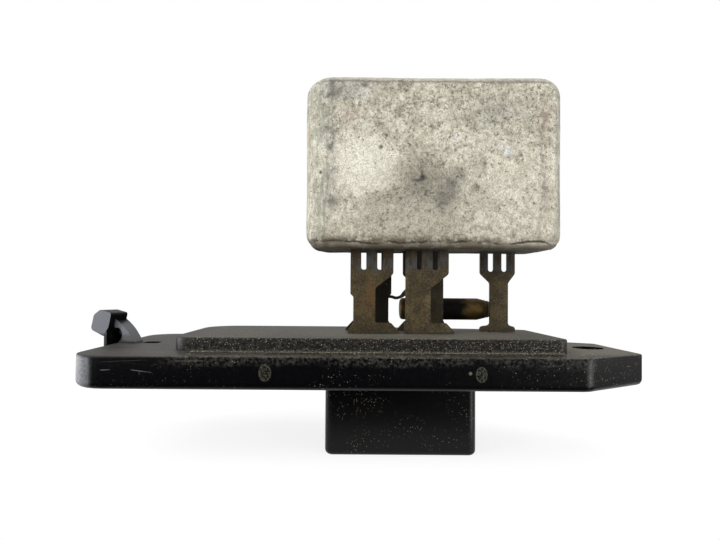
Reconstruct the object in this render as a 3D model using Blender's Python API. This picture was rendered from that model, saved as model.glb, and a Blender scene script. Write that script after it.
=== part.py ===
"""Blower motor resistor of a car heater.

A black moulded flange carries a connector socket below and five stamped terminals above. The
terminals hold up a potted metal can with two flat resistance strips in it, and a thermal fuse lies
behind them. x runs along the flange, y from its front to its back and z up. Sizes are in metres.
"""
import math

import bmesh
import bpy
from mathutils import Vector

# Clearances
FIT_GAP = 0.0003
SEAT_GAP = 0.0001
EMBED = 0.0008
CUT_MARGIN = 0.002

# How finely round forms are drawn, and the smallest rounds
ARC_STEPS = 6
ROUND_STEPS = 6
CAP_STEPS = 3
HOLE_SIDES = 32
FUSE_SIDES = 24
LEAD_SIDES = 8
ROUTE_STEPS = 5
SHARP_ANGLE = math.radians(32)
HIDDEN_FILLET = 0.0001
SMALLEST_ROUND = 0.0003
SMALLEST_SHARE = 0.1

# Flange
FLANGE_BEHIND_ROWS = 0.01955
FLANGE_THICKNESS = 0.0052
FLANGE_CORNER_RADIUS = 0.0058
FLANGE_SMALL_RADIUS = 0.0012
FLANGE_CHAMFER_RADIUS = 0.0035
FLANGE_BOTTOM_FILLET = 0.0011
FLANGE_TOP_FILLET = 0.0003
END_CHAMFER_LENGTH = 0.0118
END_CHAMFER_DEPTH = 0.0075
END_FLAT_DEPTH = 0.0182
BACK_SLOPE_START = 0.0430
BACK_SLOPE_DROP = 0.0103

# Raised step on the flange: its land past the terminals, and the flange's margin round it
STEP_HEIGHT = 0.00235
STEP_LEFT_LAND = 0.02990
STEP_RIGHT_LAND = 0.00405
STEP_FRONT_MARGIN = 0.0067
STEP_BACK_MARGIN = 0.0062
STEP_BACK_MARGIN_RIGHT = 0.0031
STEP_LEFT_MARGIN = 0.01425
STEP_RIGHT_MARGIN = 0.0124
STEP_CORNER_RADIUS = 0.0045
STEP_BACK_CORNER_RADIUS = 0.0070
STEP_SMALL_RADIUS = 0.0016
STEP_EDGE_FILLET = 0.0003

# Screw hole and relief slot
SCREW_HOLE_DIAMETER = 0.0055
SCREW_HOLE_FROM_RIGHT = 0.0050
SCREW_HOLE_FROM_FRONT = 0.0172
SLOT_LENGTH = 0.0030
SLOT_WIDTH = 0.0034
SLOT_FROM_LEFT = 0.0048
SLOT_FROM_FRONT = 0.0221
SLOT_CORNER_RADIUS = 0.0009

# Connector socket: the room round its blades, and its wall
SOCKET_SIDE_ROOM = 0.00298
SOCKET_ROW_ROOM = 0.0036
SOCKET_DEPTH = 0.01306
SOCKET_WALL = 0.0016
SOCKET_CORNER_RADIUS = 0.0014
SOCKET_INNER_RADIUS = 0.0006
SOCKET_RIM_FILLET = 0.0009
SOCKET_FLOOR_RISE = 0.0026
SOCKET_OFFSET = -0.00025
LATCH_WIDTH = 0.0060
LATCH_HEIGHT = 0.0028
LATCH_LIP = 0.0006
LATCH_DEPTH = 0.0014
LATCH_DROP = 0.0045

# Cored pockets under the flange
POCKET_DEPTH = 0.0026
POCKET_WALL = 0.0024
POCKET_RIB = 0.0016
POCKET_RADIUS = 0.0012
POCKET_COLUMNS = 2
LEFT_SOLID_END = 0.0111
RIGHT_SOLID_END = 0.0132

# Snap lug at the left end, in its own frame: u outwards, w backwards, z up
LUG_ROOT_FROM_LEFT = 0.00354
LUG_ROOT_FROM_FRONT = 0.02039
LUG_ANGLE = math.radians(28)
LUG_HEAD_FORWARD = 0.0019
LUG_HEAD_BACKWARD = 0.0020
LUG_HEAD = (
    (0.00430, 0.00560, 0.0004),
    (0.00750, 0.00617, 0.0008),
    (0.00920, 0.00514, 0.0008),
    (0.00995, 0.00265, 0.0005),
    (0.00958, 0.00215, 0.0004),
    (0.00645, 0.00115, 0.0002),
    (0.00505, 0.00290, 0.0003),
)
LUG_ARM_FORWARD = 0.0006
LUG_ARM_TOP = (0.0046, 0.0044)
LUG_ARM_FRONT_FOOT = -0.0007
LUG_ARM_BACK_FOOT = -0.0001
LUG_ARM_BULGE = 0.00045
LUG_NOTCH_CENTRE = (0.00413, 0.00148)
LUG_NOTCH_RADIUS = 0.00134
LUG_NOTCH_START = math.radians(66)
LUG_NOTCH_END = math.radians(250)
LUG_TONGUE_INNER = 0.00565
LUG_TONGUE_THICKNESS = 0.00070
LUG_TONGUE_TOP = 0.0024
LUG_TONGUE_DROP = 0.0034
LUG_TONGUE_ROUND = 0.0002
LUG_WEB_THICKNESS = 0.0008
LUG_WEB_TOP = 0.0032
LUG_WEB_DROP = 0.0010
LUG_SET_IN = 0.00004

# Resistor block: its margins past the terminal heads it stands on
BLOCK_LEFT_MARGIN = 0.00835
BLOCK_RIGHT_MARGIN = 0.00659
BLOCK_HEIGHT = 0.0313
BLOCK_FROM_FRONT = 0.0137
BLOCK_STANDOFF = 0.01515
BLOCK_CORNER_RADIUS = 0.0030
BLOCK_SIDE_ROUND = 0.0041
BLOCK_EDGE_ROUND = 0.0012
CASE_WALL = 0.0012
CASE_MOUTH_LIP = 0.0007
POTTING_RECESS = 0.0004

# Stamped terminals, two in each row
SHEET_THICKNESS = 0.0008
ROW_INSET = 0.00325
ROW_SPACING = 0.0068
FRONT_ROW_LEFT = -0.00220
REAR_ROW_SHIFT = 0.00020
HEAD_WIDTH = 0.00784
HEAD_GAP = 0.00226
STEM_WIDTH = 0.00400
STEM_STEP = 0.00055
STAMPED_ROUND = 0.0008
STAMPED_CORNER = 0.0003
PRONG_WIDTH = 0.00195
WIDE_PRONG_WIDTH = 0.00240
PRONG_ROOT_SHARE = 0.42
PRONG_ROOT_HEIGHT = 0.01170
HEAD_SHOULDER_HEIGHT = 0.01093
STEM_TOP_HEIGHT = 0.00834
STEM_STEP_HEIGHT = 0.00725
PRONG_EMBED = 0.0050
FOOT_HEIGHT = 0.0019
FOOT_EDGE_HEIGHT = 0.0004
FOOT_FLARE = 0.0010
FLUSH_FOOT_FLARE = 0.0002
FOOT_SHELF = 0.0029
FOOT_SHELF_FLARE = 0.0014
BLADE_CLEAR_OF_RIM = 0.0022
BLADE_TIP_CHAMFER = 0.0008

# Terminal that carries the fuse
FUSE_HEAD_WIDTH = 0.00672
FUSE_STEM_WIDTH = 0.00350
FUSE_STEM_SHIFT = 0.00028
FUSE_PRONG_WIDTH = 0.00150
FUSE_SHOULDER_HEIGHT = 0.01129
FUSE_STEM_TOP_HEIGHT = 0.00950
FUSE_FOOT_WIDTH = 0.00680
FUSE_FOOT_HEIGHT = 0.0009
FUSE_FOOT_SLOPE = 0.0003
FUSE_FOOT_ROUND = 0.0006
FUSE_ANCHOR_DEPTH = 0.0030

# Thermal fuse, its seal as shares of length and radius, and its leads
FUSE_DIAMETER = 0.0043
FUSE_FROM_TERMINAL = 0.00191
FUSE_LENGTH = 0.01725
FUSE_HEIGHT = 0.0043
FUSE_END_ROUND = 0.0006
FUSE_TAPER_LENGTH = 0.0019
FUSE_TAPER_DEPTH = 0.00035
FUSE_NOSE_ROUND = 0.0004
SEAL_DIAMETER = 0.0034
SEAL_LENGTH = 0.0007
SEAL_PROFILE = ((0.0, 1.0), (0.5, 0.94), (0.85, 0.70), (1.0, 0.45))
LEAD_DIAMETER = 0.0006
LEAD_BEND = 0.0006
LEAD_RISE = 0.0024
LEAD_SAG = 0.00025
LEAD_OVERLAP = 0.0020
LEAD_ARCH_WIDTH = 0.0010
LEAD_ARCH_RISE = 0.0012
LEAD_ARCH_STEP = 0.0008
FUSE_LEAD_SPAN = 0.0008

# Resistance strips in the potting
ELEMENT_THICKNESS = 0.0005
ELEMENT_STRIP = 0.0015
ELEMENT_RUNS = 15
ELEMENT_SIDE_MARGIN = 0.0030
ELEMENT_TOP_MARGIN = 0.0030
ELEMENT_RISE = 0.0065
ELEMENT_TAB_WIDTH = 0.0045
ELEMENT_TAB_LAP = 0.0030

# Levels worked out from the sizes above
FLANGE_BOTTOM = SOCKET_DEPTH
FLANGE_TOP = FLANGE_BOTTOM + FLANGE_THICKNESS
STEP_TOP = FLANGE_TOP + STEP_HEIGHT
BLOCK_BOTTOM = STEP_TOP + BLOCK_STANDOFF
BLOCK_TOP = BLOCK_BOTTOM + BLOCK_HEIGHT
PRONG_TOP = BLOCK_BOTTOM + PRONG_EMBED
TAB_LOW = PRONG_TOP - ELEMENT_TAB_LAP
SOCKET_FLOOR = FLANGE_BOTTOM + SOCKET_FLOOR_RISE

# Rows from front to back
FRONT_ROW_Y = BLOCK_FROM_FRONT + ROW_INSET
REAR_ROW_Y = FRONT_ROW_Y + ROW_SPACING
REAR_FACE_Y = REAR_ROW_Y + SHEET_THICKNESS / 2 + SEAT_GAP
BLOCK_BACK = REAR_ROW_Y + ROW_INSET
FLANGE_DEPTH = REAR_ROW_Y + FLANGE_BEHIND_ROWS
SOCKET_Y = (FRONT_ROW_Y + REAR_ROW_Y) / 2
SOCKET_WIDTH = ROW_SPACING + SHEET_THICKNESS + 2 * (SOCKET_ROW_ROOM + SOCKET_WALL)

# Places from left to right: terminals, fuse, block, step, flange and socket
PIN_PITCH = HEAD_WIDTH + HEAD_GAP
REAR_ROW_RIGHT = FRONT_ROW_LEFT + HEAD_WIDTH + REAR_ROW_SHIFT
FUSE_LEFT = REAR_ROW_RIGHT + FUSE_FROM_TERMINAL
FUSE_RIGHT = FUSE_LEFT + FUSE_LENGTH
FUSE_TERMINAL_X = FUSE_RIGHT + SEAL_LENGTH + FUSE_LEAD_SPAN
FUSE_STEM_X = FUSE_TERMINAL_X + FUSE_STEM_SHIFT
BLOCK_LEFT = FRONT_ROW_LEFT - BLOCK_LEFT_MARGIN
BLOCK_RIGHT = FUSE_TERMINAL_X + FUSE_HEAD_WIDTH / 2 + BLOCK_RIGHT_MARGIN
STEP_LEFT = FRONT_ROW_LEFT - STEP_LEFT_LAND
STEP_RIGHT = FUSE_TERMINAL_X + FUSE_FOOT_WIDTH / 2 + STEP_RIGHT_LAND
LEFT = STEP_LEFT - STEP_LEFT_MARGIN
RIGHT = STEP_RIGHT + STEP_RIGHT_MARGIN
BLADES_LEFT = FRONT_ROW_LEFT + STEM_STEP
BLADES_RIGHT = REAR_ROW_RIGHT + PIN_PITCH - STEM_STEP
SOCKET_X = (BLADES_LEFT + BLADES_RIGHT) / 2 + SOCKET_OFFSET
SOCKET_LENGTH = BLADES_RIGHT - BLADES_LEFT + 2 * (SOCKET_SIDE_ROOM + SOCKET_WALL)

# The thermal fuse lies against the backs of the rear terminals
FUSE_Y = REAR_FACE_Y + FUSE_DIAMETER / 2
FUSE_Z = STEP_TOP + FUSE_HEIGHT
LEAD_Y = REAR_FACE_Y + LEAD_DIAMETER / 2


def clear_scene():
    for item in list(bpy.data.objects):
        bpy.data.objects.remove(item, do_unlink=True)


def material(name, colour, roughness, metallic=0.0):
    made = bpy.data.materials.new(name)
    made.use_nodes = True
    shader = made.node_tree.nodes["Principled BSDF"]
    shader.inputs["Base Color"].default_value = (*colour, 1.0)
    shader.inputs["Roughness"].default_value = roughness
    shader.inputs["Metallic"].default_value = metallic
    return made


def rounded_outline(corners):
    """Points of a closed outline whose corners (x, y, radius) are rounded by arcs."""
    points = []
    for index, (x, y, radius) in enumerate(corners):
        here = Vector((x, y))
        if radius <= 0:
            points.append(here)
            continue
        back = (Vector(corners[index - 1][:2]) - here).normalized()
        ahead = (Vector(corners[(index + 1) % len(corners)][:2]) - here).normalized()
        half = back.angle(ahead) / 2
        centre = here + (back + ahead).normalized() * (radius / math.sin(half))
        spoke = here + back * (radius / math.tan(half)) - centre
        turn = math.pi - 2 * half
        if back.cross(ahead) > 0:
            turn = -turn
        for step in range(ARC_STEPS + 1):
            angle = turn * step / ARC_STEPS
            cosine, sine = math.cos(angle), math.sin(angle)
            points.append(centre + Vector((spoke.x * cosine - spoke.y * sine,
                                           spoke.x * sine + spoke.y * cosine)))
    return points


def inset_corners(corners, distance):
    """The same corners, given anticlockwise, with every side moved inwards."""
    moved = []
    for index, (x, y, radius) in enumerate(corners):
        here = Vector((x, y))
        arriving = (here - Vector(corners[index - 1][:2])).normalized()
        leaving = (Vector(corners[(index + 1) % len(corners)][:2]) - here).normalized()
        normals = Vector((-arriving.y, arriving.x)) + Vector((-leaving.y, leaving.x))
        shift = normals * (distance * 2 / normals.length_squared)
        smaller = max(radius - distance, radius * SMALLEST_SHARE)
        moved.append((x + shift.x, y + shift.y, smaller))
    return moved


def rectangle(x0, x1, y0, y1, radius=0.0):
    return [(x0, y0, radius), (x1, y0, radius), (x1, y1, radius), (x0, y1, radius)]


def flat_place(a, b, height):
    return Vector((a, b, height))


def upright_place(a, b, depth):
    return Vector((a, depth, b))


def sideways_place(a, b, depth):
    return Vector((depth, a, b))


def lug_place(u, z, w):
    return Vector((LEFT + LUG_ROOT_FROM_LEFT - u * math.cos(LUG_ANGLE) + w * math.sin(LUG_ANGLE),
                   LUG_ROOT_FROM_FRONT + u * math.sin(LUG_ANGLE) + w * math.cos(LUG_ANGLE),
                   FLANGE_TOP + z))


def finish_mesh(name, builder):
    bmesh.ops.recalc_face_normals(builder, faces=builder.faces)
    mesh = bpy.data.meshes.new(name)
    builder.to_mesh(mesh)
    builder.free()
    mesh.shade_smooth()
    mesh.set_sharp_from_angle(angle=SHARP_ANGLE)
    made = bpy.data.objects.new(name, mesh)
    bpy.context.scene.collection.objects.link(made)
    return made


def add_loft(builder, rings):
    """A closed skin over rings with the same number of points, capped at both ends."""
    loops = [[builder.verts.new(point) for point in ring] for ring in rings]
    for lower, upper in zip(loops, loops[1:]):
        for index in range(len(lower)):
            following = (index + 1) % len(lower)
            builder.faces.new((lower[index], lower[following], upper[following], upper[index]))
    builder.faces.new(reversed(loops[0]))
    builder.faces.new(loops[-1])


def loft(name, rings):
    builder = bmesh.new()
    add_loft(builder, rings)
    return finish_mesh(name, builder)


def prism(name, outlines, low, high, place=flat_place):
    """One or more closed outlines, each drawn out from low to high."""
    builder = bmesh.new()
    for outline in outlines:
        add_loft(builder, [[place(p[0], p[1], level) for p in outline] for level in (low, high)])
    return finish_mesh(name, builder)


def filleted_slab(name, corners, low, high, low_fillet, high_fillet):
    """A flat slab of rounded outline, with fillets along its lower and upper edges."""
    layers = []
    for step in range(ARC_STEPS + 1):
        angle = math.pi / 2 * step / ARC_STEPS
        layers.append((low_fillet * (1 - math.sin(angle)), low + low_fillet * (1 - math.cos(angle))))
    for step in range(ARC_STEPS, -1, -1):
        angle = math.pi / 2 * step / ARC_STEPS
        layers.append((high_fillet * (1 - math.sin(angle)), high - high_fillet * (1 - math.cos(angle))))
    return loft(name, [[flat_place(p.x, p.y, height) for p in rounded_outline(inset_corners(corners, inset))]
                       for inset, height in layers])


def combine(target, other, operation):
    step = target.modifiers.new(other.name, "BOOLEAN")
    step.operation = operation
    step.object = other
    step.solver = "EXACT"
    other.hide_render = True
    other.display_type = "WIRE"


def join(target, *others):
    for other in others:
        combine(target, other, "UNION")


def cut(target, *others):
    for other in others:
        combine(target, other, "DIFFERENCE")


# Outlines of the flange and its step
def flange_corners():
    end_low = END_CHAMFER_DEPTH
    end_high = end_low + END_FLAT_DEPTH
    slope_end = RIGHT - END_CHAMFER_LENGTH
    return [
        (LEFT, 0.0, FLANGE_CORNER_RADIUS),
        (slope_end, 0.0, FLANGE_CHAMFER_RADIUS),
        (RIGHT, end_low, FLANGE_SMALL_RADIUS),
        (RIGHT, end_high, FLANGE_SMALL_RADIUS),
        (slope_end, FLANGE_DEPTH - BACK_SLOPE_DROP, FLANGE_SMALL_RADIUS),
        (LEFT + BACK_SLOPE_START, FLANGE_DEPTH, FLANGE_SMALL_RADIUS),
        (LEFT, FLANGE_DEPTH, FLANGE_CORNER_RADIUS),
    ]


def back_edge(x):
    """How far back the flange reaches at x, along its straight and its sloping stretch."""
    start = LEFT + BACK_SLOPE_START
    end = RIGHT - END_CHAMFER_LENGTH
    share = min(max((x - start) / (end - start), 0.0), 1.0)
    return FLANGE_DEPTH - BACK_SLOPE_DROP * share


def step_corners():
    slope_start = LEFT + BACK_SLOPE_START
    back = FLANGE_DEPTH - STEP_BACK_MARGIN
    return [
        (STEP_LEFT, STEP_FRONT_MARGIN, STEP_CORNER_RADIUS),
        (STEP_RIGHT, STEP_FRONT_MARGIN, STEP_SMALL_RADIUS),
        (STEP_RIGHT, back_edge(STEP_RIGHT) - STEP_BACK_MARGIN_RIGHT, STEP_SMALL_RADIUS),
        (slope_start, back, STEP_SMALL_RADIUS),
        (STEP_LEFT, back, STEP_BACK_CORNER_RADIUS),
    ]


# Connector socket
def socket_corners(wall, radius):
    half_length = SOCKET_LENGTH / 2 - wall
    half_width = SOCKET_WIDTH / 2 - wall
    return rectangle(SOCKET_X - half_length, SOCKET_X + half_length,
                     SOCKET_Y - half_width, SOCKET_Y + half_width, radius)


def socket_shell():
    return filleted_slab("socket_outer", socket_corners(0.0, SOCKET_CORNER_RADIUS), 0.0,
                         FLANGE_BOTTOM + EMBED, SOCKET_RIM_FILLET, HIDDEN_FILLET)


def socket_cavity():
    outline = rounded_outline(socket_corners(SOCKET_WALL, SOCKET_INNER_RADIUS))
    return prism("socket_cavity", [outline], -CUT_MARGIN, SOCKET_FLOOR)


def latch_ramp():
    """The wedge on the socket's back wall that the plug's clip snaps over."""
    wall = SOCKET_Y + SOCKET_WIDTH / 2
    low = FLANGE_BOTTOM - LATCH_DROP - LATCH_HEIGHT
    high = low + LATCH_HEIGHT
    outline = [(wall - EMBED, low), (wall, low), (wall + LATCH_DEPTH, high - LATCH_LIP),
               (wall + LATCH_DEPTH, high), (wall - EMBED, high)]
    return prism("latch_ramp", [outline], SOCKET_X - LATCH_WIDTH / 2, SOCKET_X + LATCH_WIDTH / 2,
                 sideways_place)


# Pockets that core out the underside, in rows each side of the socket
def pocket_fields():
    socket_left = SOCKET_X - SOCKET_LENGTH / 2
    socket_right = SOCKET_X + SOCKET_LENGTH / 2
    fields = [(LEFT + LEFT_SOLID_END, socket_left - POCKET_RIB, POCKET_COLUMNS),
              (socket_right + POCKET_RIB, RIGHT - RIGHT_SOLID_END, 1)]
    outlines = []
    middle = SOCKET_Y
    for start, end, columns in fields:
        pitch = (end - start + POCKET_RIB) / columns
        for column in range(columns):
            x0 = start + column * pitch
            x1 = x0 + pitch - POCKET_RIB
            back = back_edge(x1) - POCKET_WALL
            outlines.append(rectangle(x0, x1, POCKET_WALL, middle - POCKET_RIB / 2, POCKET_RADIUS))
            outlines.append(rectangle(x0, x1, middle + POCKET_RIB / 2, back, POCKET_RADIUS))
    front_end = SOCKET_Y - SOCKET_WIDTH / 2 - POCKET_RIB
    outlines.append(rectangle(socket_left, socket_right, POCKET_WALL, front_end, POCKET_RADIUS))
    return [rounded_outline(corners) for corners in outlines]


def pockets():
    return prism("flange_pockets", pocket_fields(), FLANGE_BOTTOM - CUT_MARGIN,
                 FLANGE_BOTTOM + POCKET_DEPTH)


def screw_hole():
    x = RIGHT - SCREW_HOLE_FROM_RIGHT
    radius = SCREW_HOLE_DIAMETER / 2
    outline = [(x + radius * math.cos(math.tau * side / HOLE_SIDES),
                SCREW_HOLE_FROM_FRONT + radius * math.sin(math.tau * side / HOLE_SIDES))
               for side in range(HOLE_SIDES)]
    return prism("screw_hole", [outline], FLANGE_BOTTOM - CUT_MARGIN, FLANGE_TOP + CUT_MARGIN)


def relief_slot():
    x = LEFT + SLOT_FROM_LEFT
    y = SLOT_FROM_FRONT
    corners = rectangle(x, x + SLOT_LENGTH, y - SLOT_WIDTH / 2, y + SLOT_WIDTH / 2, SLOT_CORNER_RADIUS)
    return prism("relief_slot", [rounded_outline(corners)], FLANGE_BOTTOM - CUT_MARGIN,
                 FLANGE_TOP + CUT_MARGIN)


# Snap lug: an arm that leans out over the flange's end, a head, a tongue that hangs from it, and a web
def lug_arm_outline(foot_at):
    """The arm's side view: its bowed back, the head's middle, and the round notch under the head."""
    foot = Vector((foot_at, 0.0))
    chord = Vector(LUG_ARM_TOP) - foot
    side = Vector((-chord.y, chord.x)).normalized() * LUG_ARM_BULGE
    outline = [Vector((foot.x, -EMBED))]
    for step in range(ARC_STEPS + 1):
        share = step / ARC_STEPS
        outline.append(foot + chord * share + side * math.sin(math.pi * share))
    outline.append((Vector(LUG_HEAD[1][:2]) + Vector(LUG_HEAD[-1][:2])) / 2)
    for step in range(2 * ARC_STEPS + 1):
        angle = LUG_NOTCH_START + (LUG_NOTCH_END - LUG_NOTCH_START) * step / (2 * ARC_STEPS)
        outline.append(Vector((LUG_NOTCH_CENTRE[0] + LUG_NOTCH_RADIUS * math.cos(angle),
                               LUG_NOTCH_CENTRE[1] + LUG_NOTCH_RADIUS * math.sin(angle))))
    outline.append(Vector((outline[-1].x, -EMBED)))
    return outline


def lug_arm():
    sides = ((-LUG_ARM_FORWARD, LUG_ARM_FRONT_FOOT), (LUG_HEAD_BACKWARD - LUG_SET_IN, LUG_ARM_BACK_FOOT))
    return loft("lug_arm", [[lug_place(p.x, p.y, w) for p in lug_arm_outline(foot_at)]
                            for w, foot_at in sides])


def lug_head():
    return prism("lug_head", [rounded_outline(LUG_HEAD)], -LUG_HEAD_FORWARD, LUG_HEAD_BACKWARD,
                 lug_place)


def lug_tongue():
    corners = rectangle(LUG_TONGUE_INNER, LUG_TONGUE_INNER + LUG_TONGUE_THICKNESS,
                        -LUG_TONGUE_DROP, LUG_TONGUE_TOP, LUG_TONGUE_ROUND)
    return prism("lug_tongue", [rounded_outline(corners)], 2 * LUG_SET_IN - LUG_HEAD_FORWARD,
                 LUG_HEAD_BACKWARD - 2 * LUG_SET_IN, lug_place)


def lug_web():
    """The thin wall that closes the space between the arm and the tongue at the back."""
    corners = rectangle(LUG_NOTCH_CENTRE[0], LUG_TONGUE_INNER + LUG_TONGUE_THICKNESS / 2,
                        -LUG_WEB_DROP, LUG_WEB_TOP)
    return prism("lug_web", [rounded_outline(corners)], LUG_HEAD_BACKWARD - LUG_WEB_THICKNESS,
                 LUG_HEAD_BACKWARD - 3 * LUG_SET_IN, lug_place)


# Places of the terminals: the left edge of each head, whether the stem is at its right, and how
# far the stem's outer edge lies in from the head's
def pin_places():
    places = []
    for column, (side, inset) in enumerate((("left", STEM_STEP), ("middle", 0.0))):
        shift = column * PIN_PITCH
        front = FRONT_ROW_LEFT + shift
        rear = REAR_ROW_RIGHT - HEAD_WIDTH + shift
        places.append(("terminal_front_" + side, front, FRONT_ROW_Y, False, inset))
        places.append(("terminal_rear_" + side, rear, REAR_ROW_Y, True, inset))
    return places


def blade_span(head_left, mirrored):
    """The left and right edges of the blade below the moulding's top."""
    if mirrored:
        right = head_left + HEAD_WIDTH - STEM_STEP
        return right - STEM_WIDTH, right
    left = head_left + STEM_STEP
    return left, left + STEM_WIDTH


def prong_outline(left, right, root, top, prong):
    """Points from the head's left top corner to its right one, down and up each of its two gaps."""
    gap = (right - left - 3 * prong) / 2
    corner = gap * PRONG_ROOT_SHARE
    points = [(left, top, 0.0), (left + prong, top, 0.0)]
    for index in range(2):
        near = left + prong + index * (prong + gap)
        points.append((near, root, corner))
        points.append((near + gap, root, corner))
        points.append((near + gap, top, 0.0))
        points.append((near + gap + prong, top, 0.0))
    return points


def pin_outline(head_left, mirrored, inset):
    """A pin terminal seen from the front, clockwise from the blade's tip."""
    prong = WIDE_PRONG_WIDTH if mirrored and not inset else PRONG_WIDTH
    head_right = head_left + HEAD_WIDTH
    near, far = blade_span(head_left, False)
    outer = head_left + inset
    shelf = far + FOOT_SHELF
    seat = STEP_TOP + SEAT_GAP
    edge = seat + FOOT_EDGE_HEIGHT
    top = seat + FOOT_HEIGHT
    tip = BLADE_CLEAR_OF_RIM
    points = [
        (near + BLADE_TIP_CHAMFER, tip, 0.0),
        (near, tip + BLADE_TIP_CHAMFER * 2, 0.0),
        (near, seat, 0.0),
    ]
    if inset:
        points += [
            (outer - FOOT_FLARE, seat, 0.0),
            (outer - FOOT_FLARE, edge, STAMPED_CORNER),
            (outer, top, STAMPED_ROUND),
            (outer, STEP_TOP + STEM_STEP_HEIGHT - inset, STAMPED_CORNER),
            (head_left, STEP_TOP + STEM_STEP_HEIGHT, STAMPED_CORNER),
        ]
    else:
        points += [
            (outer - FLUSH_FOOT_FLARE, seat, 0.0),
            (outer - FLUSH_FOOT_FLARE, top - FLUSH_FOOT_FLARE, STAMPED_CORNER),
            (outer, top + FLUSH_FOOT_FLARE, STAMPED_CORNER),
        ]
    points += prong_outline(head_left, head_right, STEP_TOP + PRONG_ROOT_HEIGHT, PRONG_TOP, prong)
    points += [
        (head_right, STEP_TOP + HEAD_SHOULDER_HEIGHT, STAMPED_ROUND),
        (far, STEP_TOP + STEM_TOP_HEIGHT, STAMPED_ROUND),
        (far, top, STAMPED_CORNER),
        (shelf, top, STAMPED_CORNER),
        (shelf + FOOT_SHELF_FLARE, edge, STAMPED_CORNER),
        (shelf + FOOT_SHELF_FLARE, seat, 0.0),
        (far, seat, 0.0),
        (far, tip + BLADE_TIP_CHAMFER * 2, 0.0),
        (far - BLADE_TIP_CHAMFER, tip, 0.0),
    ]
    if mirrored:
        points = [(head_left + head_right - x, z, radius) for x, z, radius in points]
    return rounded_outline(points)


def fuse_terminal_outline():
    """The fuse's terminal seen from the front, clockwise from its anchor's lower left corner."""
    seat = STEP_TOP + SEAT_GAP
    edge = seat + FUSE_FOOT_HEIGHT
    sides = []
    for sign in (-1, 1):
        head = FUSE_TERMINAL_X + sign * FUSE_HEAD_WIDTH / 2
        stem = FUSE_STEM_X + sign * FUSE_STEM_WIDTH / 2
        foot = FUSE_TERMINAL_X + sign * FUSE_FOOT_WIDTH / 2
        sides.append([
            (stem, STEP_TOP - FUSE_ANCHOR_DEPTH, 0.0),
            (stem, seat, 0.0),
            (foot, seat, 0.0),
            (foot, edge, FUSE_FOOT_ROUND),
            (stem, edge + FUSE_FOOT_SLOPE, FUSE_FOOT_ROUND),
            (stem, STEP_TOP + FUSE_STEM_TOP_HEIGHT, STAMPED_ROUND),
            (head, STEP_TOP + FUSE_SHOULDER_HEIGHT, STAMPED_ROUND),
        ])
    half = FUSE_HEAD_WIDTH / 2
    prongs = prong_outline(FUSE_TERMINAL_X - half, FUSE_TERMINAL_X + half, STEP_TOP + PRONG_ROOT_HEIGHT,
                           PRONG_TOP, FUSE_PRONG_WIDTH)
    return rounded_outline(sides[0] + prongs + sides[1][::-1])


def sheet(name, outline, centre_y, thickness=SHEET_THICKNESS):
    return prism(name, [outline], centre_y - thickness / 2, centre_y + thickness / 2, upright_place)


def blade_slots():
    """Clearance through the moulding for each blade, and a blind slot for the fuse terminal's anchor."""
    half = SHEET_THICKNESS / 2 + FIT_GAP
    cutters = []
    for name, head_left, y, mirrored, inset in pin_places():
        left, right = blade_span(head_left, mirrored)
        corners = rectangle(left - FIT_GAP, right + FIT_GAP, y - half, y + half)
        cutters.append(prism(name + "_slot", [rounded_outline(corners)], SOCKET_FLOOR - CUT_MARGIN,
                             STEP_TOP + CUT_MARGIN))
    reach = FUSE_STEM_WIDTH / 2 + FIT_GAP
    corners = rectangle(FUSE_STEM_X - reach, FUSE_STEM_X + reach, REAR_ROW_Y - half, REAR_ROW_Y + half)
    cutters.append(prism("terminal_fuse_slot", [rounded_outline(corners)],
                         STEP_TOP - FUSE_ANCHOR_DEPTH - FIT_GAP, STEP_TOP + CUT_MARGIN))
    return cutters


def make_base_plate():
    plate = filleted_slab("base_plate", flange_corners(), FLANGE_BOTTOM, FLANGE_TOP,
                          FLANGE_BOTTOM_FILLET, FLANGE_TOP_FILLET)
    step = filleted_slab("step", step_corners(), FLANGE_TOP - EMBED, STEP_TOP,
                         HIDDEN_FILLET, STEP_EDGE_FILLET)
    cut(plate, pockets())
    join(plate, step, socket_shell(), latch_ramp(), lug_arm(), lug_head(), lug_tongue(), lug_web())
    cut(plate, socket_cavity(), screw_hole(), relief_slot(), *blade_slots())
    return plate


# Resistor block: a loft of upright outlines from its front face to its back
def round_draw(radius, depth):
    """How far a quarter round draws in at a depth below its crown."""
    left_over = max(radius - depth, 0.0)
    return radius - math.sqrt(radius ** 2 - left_over ** 2)


def block_rings(shrink, front, back, bottom, top):
    """Outlines that draw in along a large round at the sides and a small one above and below."""
    side = BLOCK_SIDE_ROUND - shrink
    edge = max(BLOCK_EDGE_ROUND - shrink, SMALLEST_ROUND)
    left = BLOCK_LEFT + shrink
    right = BLOCK_RIGHT - shrink
    radius = max(BLOCK_CORNER_RADIUS - shrink, SMALLEST_ROUND)
    depths = [side * (1 - math.cos(math.pi / 2 * step / ROUND_STEPS)) for step in range(ROUND_STEPS + 1)]
    levels = [(front + depth, depth) for depth in depths]
    levels += [(back - depth, depth) for depth in reversed(depths)]
    rings = []
    for y, depth in levels:
        draw_side = round_draw(side, depth)
        draw_edge = round_draw(edge, depth)
        corners = rectangle(left + draw_side, right - draw_side, bottom + draw_edge, top - draw_edge, radius)
        rings.append([upright_place(p.x, p.y, y) for p in rounded_outline(corners)])
    return rings


def block_body(name, shrink):
    """The block's form, drawn in by the same distance on every side."""
    return loft(name, block_rings(shrink, BLOCK_FROM_FRONT + shrink, BLOCK_BACK - shrink,
                                  BLOCK_BOTTOM + shrink, BLOCK_TOP - shrink))


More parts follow.
